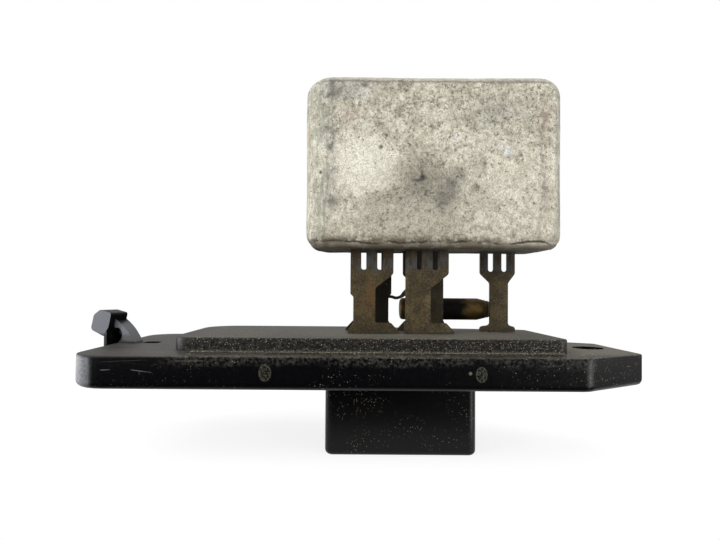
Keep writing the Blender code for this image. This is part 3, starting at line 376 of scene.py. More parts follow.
def oxidised_aluminium():
    """Off-white oxide, mottled and pitted, with a smudged middle and dirty creases."""
    finish = Finish("oxidised_aluminium_mottled")
    front = finish.ramp(finish.y, -BLOCK_WALL_FRONT + 0.3, -BLOCK_WALL_FRONT + 1.6, 1.0, 0.0)
    cloud = finish.noise(7.0, 5.0, 0.6)
    blotch = finish.noise(2.0, 5.0, 0.7, shift=(4.0, 1.0, 9.0))
    mottle = finish.noise(0.62, 5.0, 0.75, shift=(1.0, 8.0, 2.0), distortion=0.5)
    threads = finish.noise(1.1, 4.0, 0.7, (1.3, 1.0, 0.9), (6.0, 2.0, 5.0), 1.5)
    fine = finish.noise(0.26, 3.0, 0.8, shift=(3.0, 3.0, 3.0))
    soil = finish.noise(1.3, 6.0, 0.8, (1.0, 1.0, 1.3), (9.0, 4.0, 2.0))
    colour = finish.mix(finish.ramp(cloud, 0.38, 0.62), (0.62, 0.575, 0.455), (0.77, 0.725, 0.59))
    colour = finish.mix(finish.ramp(blotch, 0.50, 0.62, 0.0, 0.50), colour, (0.40, 0.355, 0.26))
    colour = finish.mix(finish.ramp(blotch, 0.46, 0.36, 0.0, 0.65), colour, (0.93, 0.88, 0.76))
    colour = finish.mix(finish.ramp(soil, 0.50, 0.61, 0.0, 0.60), colour, (0.26, 0.235, 0.175))
    colour = finish.mix(finish.ramp(soil, 0.46, 0.37, 0.0, 0.50), colour, (0.94, 0.90, 0.79))

    def tone(share, tint, amount):
        return finish.mix(finish.product(share, amount), colour, tint)

    bright = finish.spot((2.5, -8.0, 51.5), (10.0, 3.0, 8.5))
    colour = tone(bright, (0.98, 0.94, 0.81), 0.85)
    colour = tone(finish.spot((30.5, -8.0, 46.5), (8.0, 3.0, 11.0)), (0.82, 0.77, 0.64), 0.45)
    slope = finish.total(finish.z, finish.product(finish.x, -0.33), finish.ramp(blotch, 0.3, 0.7, -0.8, 0.8))
    below = finish.product(finish.ramp(slope, 44.6, 43.4), finish.ramp(finish.x, 0.0, 5.0),
                           finish.ramp(finish.x, 26.0, 15.0))
    colour = tone(below, (0.40, 0.37, 0.29), 0.50)
    middle = finish.spot((13.5, -8.0, 48.3), (8.5, 3.0, 7.5))
    colour = tone(middle, (0.22, 0.20, 0.15), 0.62)
    smudge = finish.limit(finish.total(finish.product(finish.stroke((15.6, 42.2), (21.6, 51.0), 2.4), 0.8),
                                       finish.spot((18.1, -8.0, 46.3), (2.2, 3.0, 3.0))))
    colour = tone(finish.product(smudge, finish.ramp(blotch, 0.3, 0.6, 0.7, 1.0)), (0.13, 0.115, 0.105), 0.66)
    for place, radii, tint, amount in (
            ((27.0, -8.0, 60.5), (9.0, 3.0, 5.0), (0.30, 0.29, 0.25), 0.45),
            ((-1.0, -8.0, 64.5), (9.0, 4.0, 3.0), (0.33, 0.34, 0.36), 0.50),
            ((0.5, -8.0, 59.6), (2.4, 3.0, 2.2), (0.62, 0.42, 0.38), 0.30),
            ((-6.75, -5.0, 56.2), (0.9, 5.0, 3.2), (0.58, 0.40, 0.15), 0.60),
            ((-6.9, -5.0, 49.0), (0.9, 5.0, 1.5), (0.62, 0.36, 0.26), 0.45),
            ((35.6, -7.5, 60.0), (1.4, 4.0, 3.4), (0.55, 0.36, 0.28), 0.40)):
        colour = tone(finish.spot(place, radii), tint, amount)
    for x, z, radius in ((19.62, 55.94, 0.9), (28.71, 53.5, 1.2), (27.4, 54.3, 0.7)):
        colour = tone(finish.spot((x, -8.0, z), (radius, 3.0, radius)), (0.86, 0.88, 0.90), 0.8)

    # Dark clots, threads and grain over the oxide, thicker in some places
    upper = finish.ramp(finish.z, 50.0, 60.0)
    field = finish.limit(finish.total(
        finish.ramp(blotch, 0.40, 0.60, 0.0, 0.55), finish.product(upper, 0.45), finish.product(middle, 0.6),
        finish.product(below, 0.45), finish.product(bright, -0.45)))
    clots = finish.ramp(finish.total(mottle, finish.product(field, 0.055)), 0.565, 0.66)
    thread = finish.product(finish.band(threads, 0.5, 0.020), finish.ramp(field, 0.0, 1.0, 0.25, 1.0))
    colour = finish.mix(finish.product(clots, 0.76), colour, (0.115, 0.105, 0.080))
    colour = finish.mix(finish.product(thread, 0.32), colour, (0.16, 0.15, 0.12))
    colour = finish.mix(1.0, colour, finish.ramp(fine, 0.36, 0.64, 0.70, 1.14), "MULTIPLY")
    dark_marks = finish.limit(finish.total(
        finish.spot((13.6, -8.0, 48.7), (0.95, 3.0, 0.80), 0.2),
        finish.product(finish.spot((12.7, -8.0, 48.2), (1.7, 3.0, 0.60)), 0.9),
        finish.product(finish.spot((13.5, -8.0, 49.5), (0.35, 3.0, 1.1)), 0.7),
        finish.product(finish.spot((15.3, -8.0, 52.7), (0.9, 3.0, 0.32)), 0.85),
        finish.product(finish.spot((14.2, -8.0, 53.1), (1.3, 3.0, 0.28)), 0.75),
        finish.spot((6.1, -8.0, 54.13), (0.62, 3.0, 0.55), 0.2),
        finish.spot((7.1, -8.0, 56.2), (0.38, 3.0, 0.38), 0.2),
        finish.spot((-4.64, -7.0, 49.58), (0.50, 3.0, 0.60), 0.2),
        finish.product(finish.spot((3.18, -8.0, 65.15), (1.0, 4.0, 0.8)), 0.9),
        finish.product(finish.spot((10.67, -8.0, 64.3), (0.6, 3.0, 0.5)), 0.9),
        finish.product(finish.spot((3.8, -8.0, 41.5), (0.5, 3.0, 0.6)), 0.7),
        finish.product(finish.spot((34.6, -8.0, 43.1), (0.4, 3.0, 0.4)), 0.7)))
    ring = finish.math("SUBTRACT", finish.spot((14.5, -8.0, 45.9), (0.70, 3.0, 0.75), 0.6),
                       finish.spot((14.5, -8.0, 45.9), (0.45, 3.0, 0.50), 0.5), clamp=True)
    dark_marks = finish.limit(finish.total(
        finish.product(dark_marks, finish.ramp(mottle, 0.35, 0.6, 1.0, 0.7)), finish.product(ring, 0.50)))
    colour = finish.mix(dark_marks, colour, (0.035, 0.034, 0.032))

    # Dirt that has gathered in the creases, under the seam and round the back, and painted shade on the can's
    # underside
    ragged = finish.total(finish.x, finish.ramp(finish.noise(1.3, 4.0, 0.7), 0.3, 0.7, -0.9, 0.9))
    left_breaks = finish.noise(2.2, 4.0, 0.7, (1.0, 1.0, 2.0))
    left_crease = finish.product(finish.band(ragged, CREASE_LEFT, 1.5), finish.ramp(finish.z, 41.0, 45.0),
                                 finish.ramp(left_breaks, 0.38, 0.56, 0.2, 1.0))
    right_breaks = finish.noise(2.0, 4.0, 0.7, (1.0, 1.0, 2.0))
    right_crease = finish.product(finish.band(ragged, CREASE_RIGHT, 1.1), finish.ramp(finish.z, 40.0, 44.0),
                                  finish.ramp(right_breaks, 0.45, 0.60, 0.1, 1.0))
    colour = tone(finish.product(left_crease, front), (0.14, 0.14, 0.12), 0.90)
    colour = tone(finish.product(right_crease, front), (0.26, 0.20, 0.165), 0.75)
    rim_wander = finish.total(finish.z, finish.ramp(blotch, 0.3, 0.7, -0.15, 0.15))
    colour = tone(finish.ramp(rim_wander, CREASE_TOP, CREASE_TOP + 0.4), (0.50, 0.48, 0.42), 0.6)
    under_rim = finish.product(finish.band(rim_wander, CREASE_TOP - 0.1, 0.4), front)
    colour = tone(under_rim, (0.20, 0.19, 0.155), 0.75)
    end_face = finish.ramp(finish.math("ABSOLUTE", finish.facing[0]), 0.3, 0.8)
    side = finish.limit(finish.total(end_face, finish.product(front, finish.ramp(finish.x, -2.8, -3.8))))
    streaks = finish.noise(0.6, 4.0, 0.7, (1.0, 1.0, 6.0))
    colour = tone(finish.product(side, finish.ramp(streaks, 0.42, 0.56)), (0.30, 0.31, 0.25), 0.70)
    low = finish.ramp(finish.total(finish.z, finish.ramp(blotch, 0.0, 1.0, -0.5, 0.5)),
                      SEAM_HEIGHT + 0.05, SEAM_HEIGHT - 0.5)
    colour = tone(low, (0.130, 0.110, 0.080), 0.90)
    # Painted shade with dirt: the can's underside, below the seam, darkened to dark olive.
    colour = tone(finish.ramp(finish.z, 36.35, 35.95), (0.060, 0.053, 0.036), 0.9)
    above_seam = finish.product(finish.ramp(finish.z, 40.5, 37.5), finish.ramp(mottle, 0.42, 0.56, 0.2, 1.0))
    colour = tone(above_seam, (0.30, 0.265, 0.19), 0.50)
    seam_dirt = finish.product(finish.ramp(finish.z, SEAM_HEIGHT + 1.5, SEAM_HEIGHT + 0.3),
                               finish.ramp(blotch, 0.38, 0.52), finish.ramp(finish.x, 31.0, 24.0, 0.25, 1.0))
    colour = tone(seam_dirt, (0.12, 0.095, 0.06), 0.88)
    seam_noise = finish.noise(3.2, 3.0, 0.5, (1.0, 50.0, 50.0))
    wavy = finish.total(finish.z, finish.ramp(seam_noise, 0.3, 0.7, -SEAM_WANDER, SEAM_WANDER))
    open_share = finish.noise(4.0, 2.0, 0.5, (1.0, 50.0, 50.0), (3.0, 0.0, 0.0))
    seam = finish.product(finish.band(wavy, SEAM_HEIGHT, 0.32),
                          finish.ramp(open_share, 0.40, 0.55, 0.35, 1.0))
    colour = tone(seam, (0.022, 0.019, 0.014), 0.95)
    colour = tone(finish.spot((21.46, -8.0, 37.85), (0.5, 3.0, 0.5)), (0.14, 0.085, 0.035), 0.8)

    # Dark specks and pits
    thick = finish.ramp(field, 0.0, 1.0, 0.35, 1.0)
    pits = finish.product(finish.specks(0.95, 0.24, 0.24, (2.0, 5.0, 1.0), (1.3, 1.0, 0.8)), thick)
    dots = finish.product(finish.specks(0.50, 0.30, 0.34, (9.0, 2.0, 6.0), (1.4, 1.0, 0.8)), thick)
    colour = finish.mix(finish.product(dots, 0.60), colour, (0.14, 0.13, 0.105))
    colour = finish.mix(finish.product(pits, 0.75), colour, (0.07, 0.065, 0.055))
    rough = finish.ramp(mottle, 0.3, 0.7, 0.52, 0.78)
    finish.bump(finish.total(finish.product(mottle, 0.9), finish.product(fine, 0.5),
                             finish.product(pits, -1.6), finish.product(dots, -0.8),
                             finish.product(seam, -2.0)), 0.05)
    finish.set(base_color=colour, roughness=rough)
    finish.shader.inputs["Metallic"].default_value = 0.12
    return finish.made


def potting_cement():
    finish = Finish("potting_cement_dirty")
    grit = finish.noise(0.5, 4.0, 0.7)
    colour = finish.mix(finish.ramp(grit, 0.3, 0.7), (0.035, 0.031, 0.022), (0.085, 0.076, 0.055))
    finish.bump(grit, 0.10)
    finish.set(base_color=colour)
    finish.shader.inputs["Roughness"].default_value = 0.92
    return finish.made


def resistance_alloy():
    finish = Finish("resistance_alloy_dull")
    grain = finish.noise(0.3, 3.0, 0.6, (1.0, 1.0, 8.0))
    colour = finish.mix(grain, (0.20, 0.19, 0.17), (0.38, 0.36, 0.33))
    finish.bump(grain, 0.01)
    finish.set(base_color=colour, roughness=finish.ramp(grain, 0.2, 0.8, 0.35, 0.55))
    finish.shader.inputs["Metallic"].default_value = 0.9
    return finish.made


def rusty_steel():
    """Dull stamped steel: brown rust below, painted bluish highlights in streaks on the prongs, and painted
    shade on the rear row.
    """
    finish = Finish("rusty_steel_worn")
    cloud = finish.noise(2.2, 4.0, 0.65)
    grit = finish.noise(0.30, 4.0, 0.7, shift=(2.0, 4.0, 1.0))
    streak = finish.noise(0.45, 3.0, 0.6, (1.0, 1.0, 4.0), (6.0, 0.0, 0.0))
    colour = finish.mix(finish.ramp(cloud, 0.38, 0.62), (0.060, 0.046, 0.024), (0.106, 0.078, 0.034))
    colour = finish.mix(finish.ramp(grit, 0.48, 0.66, 0.0, 0.70), colour, (0.034, 0.025, 0.014))
    colour = finish.mix(finish.ramp(grit, 0.46, 0.34, 0.0, 0.50), colour, (0.170, 0.130, 0.066))
    orange = finish.limit(finish.total(
        finish.spot((4.4, -5.0, 27.4), (1.9, 2.0, 4.8)),
        finish.product(finish.spot((14.4, -5.0, 26.0), (1.5, 2.0, 3.0)), 0.35)))
    orange = finish.product(orange, finish.ramp(cloud, 0.36, 0.56, 0.35, 0.9))
    colour = finish.mix(orange, colour, (0.135, 0.074, 0.026))
    prongs = finish.ramp(finish.total(finish.z, finish.ramp(cloud, 0.3, 0.7, -0.8, 0.8)), 31.6, 33.0)
    # Painted highlight: bluish grey in streaks on the prongs.
    blue = finish.product(prongs, finish.ramp(streak, 0.44, 0.56))
    colour = finish.mix(finish.product(prongs, 0.60), colour, (0.060, 0.038, 0.020))
    colour = finish.mix(finish.product(blue, 0.65), colour, (0.070, 0.088, 0.098))
    # Painted shade: the rear row of terminals darkened nearly black, more towards the left.
    rear = finish.ramp(finish.y, 0.5, 1.5)
    left_share = finish.ramp(finish.x, 9.3, 10.2, 0.90, 0.55)
    rear_painted_shade = finish.product(rear, left_share, finish.ramp(finish.x, 24.0, 25.0, 1.0, 0.12))
    colour = finish.mix(rear_painted_shade, colour, (0.013, 0.010, 0.005))
    foot = finish.ramp(finish.z, STEP_TOP + 1.6, STEP_TOP + 0.2)
    foot_dirt = finish.product(foot, finish.ramp(grit, 0.38, 0.58, 0.25, 0.8))
    colour = finish.mix(foot_dirt, colour, (0.050, 0.043, 0.029))
    dust = finish.product(finish.specks(0.55, 0.20, 0.24, (3.0, 1.0, 8.0)),
                          finish.ramp(cloud, 0.38, 0.58, 0.3, 1.0))
    colour = finish.mix(finish.product(dust, 0.65), colour, (0.30, 0.26, 0.18))
    finish.bump(finish.total(grit, finish.product(cloud, 1.2), dust), 0.045)
    finish.set(base_color=colour, roughness=finish.ramp(grit, 0.35, 0.65, 0.50, 0.80))
    finish.shader.inputs["Specular IOR Level"].default_value = 0.3
    finish.shader.inputs["Metallic"].default_value = 0.35
    return finish.made


def fuse_brass():
    """Tarnished brass, darkened nearly black to the left, with a painted highlight at its right end."""
    finish = Finish("fuse_brass_darkened_left")
    cloud = finish.noise(1.6, 4.0, 0.6, (2.0, 1.0, 1.0))
    grain = finish.noise(0.25, 3.0, 0.7, (4.0, 1.0, 1.0))
    colour = finish.mix(finish.ramp(cloud, 0.3, 0.7), (0.055, 0.031, 0.007), (0.105, 0.064, 0.017))
    colour = finish.mix(finish.ramp(grain, 0.5, 0.65, 0.0, 0.5), colour, (0.030, 0.018, 0.005))
    # Darker towards the left end, nearly black, with a wandering edge.
    edge = finish.total(finish.x, finish.ramp(cloud, 0.3, 0.7, -0.7, 0.7))
    dark_left = finish.product(finish.ramp(edge, 24.4, 22.7), finish.ramp(finish.x, 11.2, 13.0))
    colour = finish.mix(finish.product(dark_left, 0.97), colour, (0.0025, 0.0012, 0.0003))
    # Painted highlight: a lighter brass tone at the fuse's right end.
    nose_highlight = finish.ramp(finish.x, 26.9, 27.6)
    colour = finish.mix(finish.product(nose_highlight, 0.4), colour, (0.14, 0.11, 0.06))
    rough = finish.total(finish.ramp(grain, 0.2, 0.8, 0.48, 0.62), finish.product(dark_left, 0.2))
    finish.bump(finish.total(grain, cloud), 0.02)
    finish.set(base_color=colour, roughness=rough)
    finish.shader.inputs["Specular IOR Level"].default_value = 0.25
    finish.shader.inputs["Metallic"].default_value = 0.55
    return finish.made


def fuse_seal():
    finish = Finish("fuse_seal_pale_painted_shade")
    grit = finish.noise(0.35, 3.0, 0.7)
    # Painted shade: the pale seal's colours are darkened to about a quarter, as it lies in shade.
    colour = finish.mix(finish.ramp(grit, 0.38, 0.62), (0.10, 0.088, 0.062), (0.18, 0.160, 0.115))
    finish.bump(grit, 0.05)
    finish.set(base_color=colour)
    finish.shader.inputs["Roughness"].default_value = 0.8
    return finish.made


def lead_wire():
    finish = Finish("lead_wire_tarnished")
    grit = finish.noise(0.4, 3.0, 0.7)
    colour = finish.mix(finish.ramp(grit, 0.3, 0.7), (0.018, 0.015, 0.012), (0.060, 0.050, 0.038))
    finish.bump(grit, 0.03)
    finish.set(base_color=colour, roughness=finish.ramp(grit, 0.2, 0.8, 0.4, 0.65))
    finish.shader.inputs["Metallic"].default_value = 0.5
    return finish.made


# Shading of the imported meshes: joined vertices, soft faces and slightly broken edges
def shading_group(angle):
    group = bpy.data.node_groups.new("joined_and_smoothed", "GeometryNodeTree")
    group.interface.new_socket("Geometry", in_out="INPUT", socket_type="NodeSocketGeometry")
    group.interface.new_socket("Geometry", in_out="OUTPUT", socket_type="NodeSocketGeometry")
    entry = group.nodes.new("NodeGroupInput")
    merge = group.nodes.new("GeometryNodeMergeByDistance")
    merge.inputs["Distance"].default_value = JOIN_GAP * MM
    faces = group.nodes.new("GeometryNodeSetShadeSmooth")
    faces.domain = "FACE"
    edges = group.nodes.new("GeometryNodeSetShadeSmooth")
    edges.domain = "EDGE"
    edges.inputs["Shade Smooth"].default_value = False
    turn = group.nodes.new("GeometryNodeInputMeshEdgeAngle")
    sharp = group.nodes.new("FunctionNodeCompare")
    sharp.operation = "GREATER_THAN"
    sharp.inputs["B"].default_value = angle
    out = group.nodes.new("NodeGroupOutput")
    group.links.new(entry.outputs[0], merge.inputs["Geometry"])
    group.links.new(merge.outputs["Geometry"], faces.inputs["Geometry"])
    group.links.new(faces.outputs["Geometry"], edges.inputs["Geometry"])
    group.links.new(turn.outputs["Unsigned Angle"], sharp.inputs["A"])
    group.links.new(sharp.outputs["Result"], edges.inputs["Selection"])
    group.links.new(edges.outputs["Geometry"], out.inputs[0])
    return group


def soften(piece, group, edge_width=0.0):
    """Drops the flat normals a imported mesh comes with, and smooths what is round."""
    if "custom_normal" in piece.data.attributes:
        piece.data.attributes.remove(piece.data.attributes["custom_normal"])
    if edge_width:
        weld = piece.modifiers.new("joined", "WELD")
        weld.merge_threshold = JOIN_GAP * MM
        bevel = piece.modifiers.new("broken_edges", "BEVEL")
        bevel.width = edge_width * MM
        bevel.segments = 3
        bevel.limit_method = "ANGLE"
        bevel.angle_limit = BROKEN_EDGE_ANGLE
    shade = piece.modifiers.new("shading", "NODES")
    shade.node_group = group


def dress(piece, finish):
    piece.data.materials.clear()
    piece.data.materials.append(finish)


def new_piece(name, mesh, finish):
    made = bpy.data.objects.new(name, mesh)
    bpy.context.scene.collection.objects.link(made)
    mesh.materials.clear()
    mesh.materials.append(finish)
    return made


# The can, as a finer mesh worn in by dents, pits and creases
def pit_field():
    """Random pits on the can's faces: place, radius and depth."""
    draw = random.Random(PIT_SEED)
    low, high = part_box("resistor_case")
    pits = []
    for _ in range(PIT_COUNT):
        x = draw.uniform(low.x, high.x) / MM
        z = draw.uniform(low.z, high.z) / MM
        y = (low.y if draw.random() < 0.5 else high.y) / MM
        radius = draw.uniform(*PIT_RADII)
        pits.append((Vector((x, y, z)), radius, radius * draw.uniform(*PIT_DEPTH_SHARES)))
    front = low.y / MM
    for _, x, z, radius, depth in FRONT_MARKS:
        pits.append((Vector((x, front, z)), radius, depth))
    return pits


def worn_depth(place, pits):
    """How far a point of the can is worn in, in mm."""
    depth = WAVE_DEPTH * (0.5 + 0.5 * noise.noise(place / WAVE_SIZE))
    depth += DENT_DEPTH * (0.5 + 0.5 * noise.noise(place / DENT_SIZE + Vector((7, 3, 1))))
    depth += GRAIN_DEPTH * (0.5 + 0.5 * noise.noise(place / GRAIN_SIZE + Vector((2, 9, 4))))
    on_front = smooth_share(place.y, -BLOCK_WALL_FRONT + 0.8, -BLOCK_WALL_FRONT + 0.2)
    wander = CREASE_WANDER * noise.noise(Vector((place.z / 3.0, 5.0, 1.0)))
    for crease in (CREASE_LEFT, CREASE_RIGHT):
        away = abs(place.x + wander - crease)
        depth += CREASE_DEPTH * on_front * (1 - smooth_share(away, 0.0, CREASE_WIDTH * 1.5))
    wave = SEAM_WANDER * noise.noise(Vector((place.x / 3.2, 2.0, 8.0)))
    open_share = 0.35 + 0.65 * smooth_share(noise.noise(Vector((place.x / 4.0, 9.0, 3.0))), -0.1, 0.3)
    away = abs(place.z + wave - SEAM_HEIGHT)
    depth += SEAM_DEPTH * open_share * (1 - smooth_share(away, 0.0, CREASE_WIDTH))
    for centre, radius, deep in pits:
        gap = (place - centre).length
        if gap < radius:
            depth += deep * (1 - smooth_share(gap, 0.0, radius))
    return depth


def worn_can(frame, finish):
    source = frame["nodes"]["resistor_case"]
    builder = bmesh.new()
    builder.from_mesh(source.data)
    bmesh.ops.remove_doubles(builder, verts=builder.verts, dist=JOIN_GAP * MM)
    coarse = bpy.data.meshes.new("can_coarse")
    builder.to_mesh(coarse)
    builder.free()
    base = bpy.data.objects.new("can_base", coarse)
    bpy.context.scene.collection.objects.link(base)
    remesh = base.modifiers.new("even_faces", "REMESH")
    remesh.mode = "VOXEL"
    remesh.voxel_size = VOXEL * MM
    bpy.context.view_layer.update()
    fine = bpy.data.meshes.new_from_object(base.evaluated_get(bpy.context.evaluated_depsgraph_get()))
    bpy.data.objects.remove(base)
    pits = pit_field()
    cells = {}
    for pit in pits:
        key = (int(pit[0].x // PIT_CELL), int(pit[0].z // PIT_CELL))
        for dx in (-1, 0, 1):
            for dz in (-1, 0, 1):
                cells.setdefault((key[0] + dx, key[1] + dz), []).append(pit)
    moved = []
    for vertex in fine.vertices:
        place = vertex.co / MM
        near = cells.get((int(place.x // PIT_CELL), int(place.z // PIT_CELL)), ())
        moved.append(vertex.co - vertex.normal * (worn_depth(place, near) * MM))
    for vertex, place in zip(fine.vertices, moved):
        vertex.co = place
    fine.shade_smooth()
    can = new_piece("worn_can", fine, finish)
    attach(can, "root")
    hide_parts("resistor_case")


# Dust crumbs that lie along the step's foot and on the ledge before it
def crumbs(name, places, finish, seed):
    draw = random.Random(seed)
    builder = bmesh.new()
    for centre, radius in places:
        made = bmesh.ops.create_icosphere(builder, subdivisions=1, radius=radius * MM)
        squash = Vector([draw.uniform(0.6, 1.3) for _ in range(3)])
        turn = draw.uniform(0, math.tau)
        axis = Vector((draw.random(), draw.random(), 1)).normalized()
        spin = Matrix.Rotation(turn, 4, axis)
        for vertex in made["verts"]:
            stretched = Vector([a * b for a, b in zip(vertex.co, squash)])
            vertex.co = spin @ stretched + metres(centre)
    mesh = bpy.data.meshes.new(name)
    builder.to_mesh(mesh)
    builder.free()
    piece = new_piece(name, mesh, finish)
    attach(piece, "root")


def dust_finish():
    finish = Finish("dust_crumbs_pale")
    shade = finish.noise(0.35, 2.0, 0.6)
    colour = finish.mix(finish.ramp(shade, 0.38, 0.62), (0.06, 0.05, 0.035), (0.36, 0.31, 0.22))
    finish.bump(shade, 0.02)
    finish.set(base_color=colour)
    finish.shader.inputs["Roughness"].default_value = 0.85
    return finish.made


def foot_dust(finish):
    """Crumbs in an uneven ridge along the step's foot, and strewn over the ledge and the step's face."""
    draw = random.Random(CRUMB_PLACE_SEED)
    places = []
    for _ in range(FOOT_CRUMBS):
        x = draw.uniform(-25.5, 36.0)
        heap = 0.5 + 0.5 * noise.noise(Vector((x / 2.6, 4.0, 7.0)))
        radius = draw.uniform(0.03, 0.07) + 0.05 * heap
        y = STEP_FRONT - abs(draw.gauss(0.0, 0.15 + 0.35 * heap)) - 0.05
        if draw.random() < 0.25 + 0.75 * heap:
            places.append(((x, y, FLANGE_TOP + radius * 0.4), radius))
    for _ in range(LEDGE_CRUMBS):
        x = draw.uniform(-26.5, 41.0)
        radius = draw.uniform(0.03, 0.08)
        y = draw.uniform(FLANGE_FRONT + 0.4, STEP_FRONT - 0.2)
        places.append(((x, y, FLANGE_TOP + radius * 0.3), radius))
    for _ in range(FACE_CRUMBS):
        x = draw.uniform(-23.0, 35.5)
        radius = draw.uniform(0.03, 0.075)
        z = draw.uniform(FLANGE_TOP + 0.1, STEP_TOP - 0.4)
        places.append(((x, STEP_FRONT - radius * 0.3, z), radius))
    crumbs("dust_on_ledge", places, finish, CRUMB_SHAPE_SEED)


# Stage, lights and camera
def make_floor():
    mesh = bpy.data.meshes.new("floor")
    builder = bmesh.new()
    bmesh.ops.create_circle(builder, cap_ends=True, segments=FLOOR_SIDES, radius=FLOOR_RADIUS * MM)
    bmesh.ops.translate(builder, verts=builder.verts, vec=metres((0.0, FLOOR_CENTRE_Y, 0.0)))
    builder.to_mesh(mesh)
    builder.free()
    floor = bpy.data.objects.new("floor", mesh)
    bpy.context.scene.collection.objects.link(floor)
    paint = bpy.data.materials.new("floor_white")
    paint.use_nodes = True
    tree = paint.node_tree
    tree.nodes.clear()
    path = tree.nodes.new("ShaderNodeLightPath")
    seen = tree.nodes.new("ShaderNodeMath")
    seen.operation = "MAXIMUM"
    tree.links.new(path.outputs["Is Camera Ray"], seen.inputs[0])
    through = tree.nodes.new("ShaderNodeMath")
    through.operation = "MAXIMUM"
    tree.links.new(path.outputs["Is Glossy Ray"], through.inputs[0])
    tree.links.new(path.outputs["Is Transmission Ray"], through.inputs[1])
    tree.links.new(through.outputs[0], seen.inputs[1])
    plain = tree.nodes.new("ShaderNodeBsdfDiffuse")
    plain.inputs["Color"].default_value = (FLOOR_TONE, FLOOR_TONE, FLOOR_TONE, 1.0)
    shaded = tree.nodes.new("ShaderNodeBsdfDiffuse")
    shaded.inputs["Color"].default_value = (FLOOR_SEEN_TONE, FLOOR_SEEN_TONE, FLOOR_SEEN_TONE, 1.0)
    glow = tree.nodes.new("ShaderNodeEmission")
    glow.inputs["Strength"].default_value = FLOOR_SEEN_GLOW
    both = tree.nodes.new("ShaderNodeAddShader")
    tree.links.new(shaded.outputs[0], both.inputs[0])
    tree.links.new(glow.outputs[0], both.inputs[1])
    choice = tree.nodes.new("ShaderNodeMixShader")
    tree.links.new(seen.outputs[0], choice.inputs["Fac"])
    tree.links.new(plain.outputs[0], choice.inputs[1])
    tree.links.new(both.outputs[0], choice.inputs[2])
    out = tree.nodes.new("ShaderNodeOutputMaterial")
    tree.links.new(choice.outputs[0], out.inputs["Surface"])
    mesh.materials.append(paint)


def make_world():
    """White to the camera, white behind and dark before the object in mirrors, dim as fill light."""
    world = bpy.data.worlds.new("studio")
    bpy.context.scene.world = world
    world.use_nodes = True
    tree = world.node_tree
    tree.nodes.clear()
    path = tree.nodes.new("ShaderNodeLightPath")
    direction = tree.nodes.new("ShaderNodeTexCoord")
    split = tree.nodes.new("ShaderNodeSeparateXYZ")
    tree.links.new(direction.outputs["Generated"], split.inputs[0])
    mirrored = tree.nodes.new("ShaderNodeMapRange")
    mirrored.interpolation_type = "SMOOTHSTEP"
    tree.links.new(split.outputs["Y"], mirrored.inputs["Value"])
    mirrored.inputs["From Min"].default_value = MIRRORED_DARK_BELOW
    mirrored.inputs["From Max"].default_value = MIRRORED_BRIGHT_ABOVE
    mirrored.inputs["To Min"].default_value = MIRRORED_FRONT
    mirrored.inputs["To Max"].default_value = MIRRORED_BACK
    glossy = tree.nodes.new("ShaderNodeMath")
    glossy.operation = "MAXIMUM"
    tree.links.new(path.outputs["Is Glossy Ray"], glossy.inputs[0])
    tree.links.new(path.outputs["Is Transmission Ray"], glossy.inputs[1])
    fill = tree.nodes.new("ShaderNodeMix")
    fill.inputs["A"].default_value = AMBIENT_STRENGTH
    tree.links.new(glossy.outputs[0], fill.inputs["Factor"])
    tree.links.new(mirrored.outputs["Result"], fill.inputs["B"])
    seen = tree.nodes.new("ShaderNodeMix")
    seen.inputs["B"].default_value = 1.0
    tree.links.new(path.outputs["Is Camera Ray"], seen.inputs["Factor"])
    tree.links.new(fill.outputs["Result"], seen.inputs["A"])
    back = tree.nodes.new("ShaderNodeBackground")
    back.inputs["Color"].default_value = (1.0, 1.0, 1.0, 1.0)
    tree.links.new(seen.outputs["Result"], back.inputs["Strength"])
    out = tree.nodes.new("ShaderNodeOutputWorld")
    tree.links.new(back.outputs[0], out.inputs["Surface"])


def make_softboxes():
    for name, place, target, width, height, radiance, lights_matt in SOFTBOXES:
        data = bpy.data.lights.new(name, "AREA")
        data.shape = "RECTANGLE"
        data.size = width * MM
        data.size_y = height * MM
        data.energy = radiance * math.pi * data.size * data.size_y
        lamp = bpy.data.objects.new(name, data)
        bpy.context.scene.collection.objects.link(lamp)
        lamp.location = metres(place)
        aim = metres(target) - lamp.location
        lamp.rotation_euler = aim.to_track_quat("-Z", "Y").to_euler()
        lamp.visible_camera = False
        lamp.visible_diffuse = lights_matt


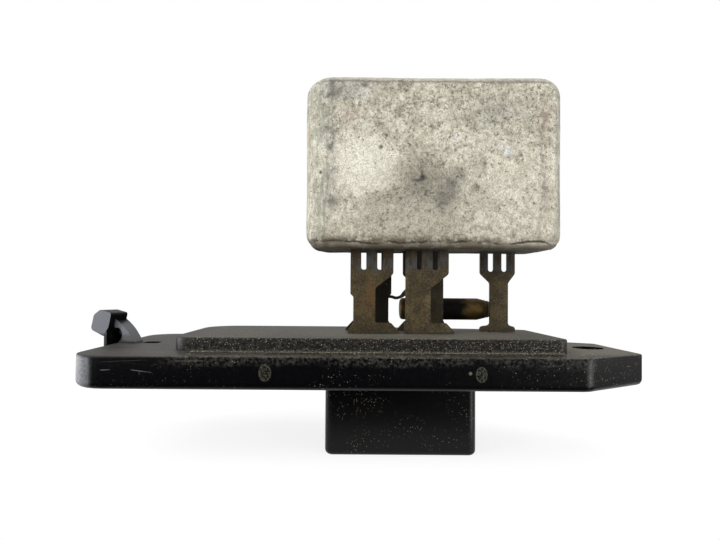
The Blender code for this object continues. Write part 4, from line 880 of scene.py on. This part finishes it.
def make_camera():
    data = bpy.data.cameras.new("photo_camera")
    data.sensor_width = SENSOR_WIDTH
    data.lens = FOCAL_LENGTH_PIXELS / PHOTO_WIDTH * SENSOR_WIDTH
    data.shift_x = (PHOTO_WIDTH / 2 - VIEW_CENTRE_X) / PHOTO_WIDTH
    data.shift_y = (VIEW_CENTRE_Y - PHOTO_HEIGHT / 2) / PHOTO_WIDTH
    data.clip_start = CLIP_START
    data.clip_end = CLIP_END
    camera = bpy.data.objects.new("photo_camera", data)
    bpy.context.scene.collection.objects.link(camera)
    level = Matrix.Rotation(math.pi / 2 + CAMERA_PITCH, 4, "X")
    roll = Matrix.Rotation(CAMERA_ROLL, 4, "Z")
    camera.matrix_world = Matrix.Translation(metres(CAMERA_PLACE)) @ level @ roll
    bpy.context.scene.camera = camera


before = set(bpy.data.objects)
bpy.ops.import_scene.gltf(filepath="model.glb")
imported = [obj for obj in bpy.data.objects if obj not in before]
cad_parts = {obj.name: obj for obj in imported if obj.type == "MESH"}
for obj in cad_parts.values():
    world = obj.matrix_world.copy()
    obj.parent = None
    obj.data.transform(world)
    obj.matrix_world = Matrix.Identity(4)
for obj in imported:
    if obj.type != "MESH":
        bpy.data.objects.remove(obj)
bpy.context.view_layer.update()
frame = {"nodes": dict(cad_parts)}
bpy.context.scene.view_settings.view_transform = "Standard"

make_camera()
make_floor()
make_world()
make_softboxes()

steel = rusty_steel()
alloy = resistance_alloy()
wire = lead_wire()
smoothing = shading_group(SHARP_ANGLE)
FINISHES = {
    "base_plate": (black_plastic(), 0.0),
    "resistor_case": (oxidised_aluminium(), 0.0),
    "cement_fill": (potting_cement(), 0.0),
    "front_element": (alloy, 0.0),
    "rear_element": (alloy, 0.0),
    "terminal_front_left": (steel, BROKEN_EDGE),
    "terminal_front_middle": (steel, BROKEN_EDGE),
    "terminal_rear_left": (steel, BROKEN_EDGE),
    "terminal_rear_middle": (steel, BROKEN_EDGE),
    "terminal_fuse": (steel, BROKEN_EDGE),
    "thermal_fuse_case": (fuse_brass(), 0.0),
    "thermal_fuse_seal": (fuse_seal(), 0.0),
    "thermal_fuse_lead_left": (wire, 0.0),
    "thermal_fuse_lead_right": (wire, 0.0),
}
for node, (finish, edge_width) in FINISHES.items():
    dress(frame["nodes"][node], finish)
    soften(frame["nodes"][node], smoothing, edge_width)

worn_can(frame, FINISHES["resistor_case"][0])
foot_dust(dust_finish())
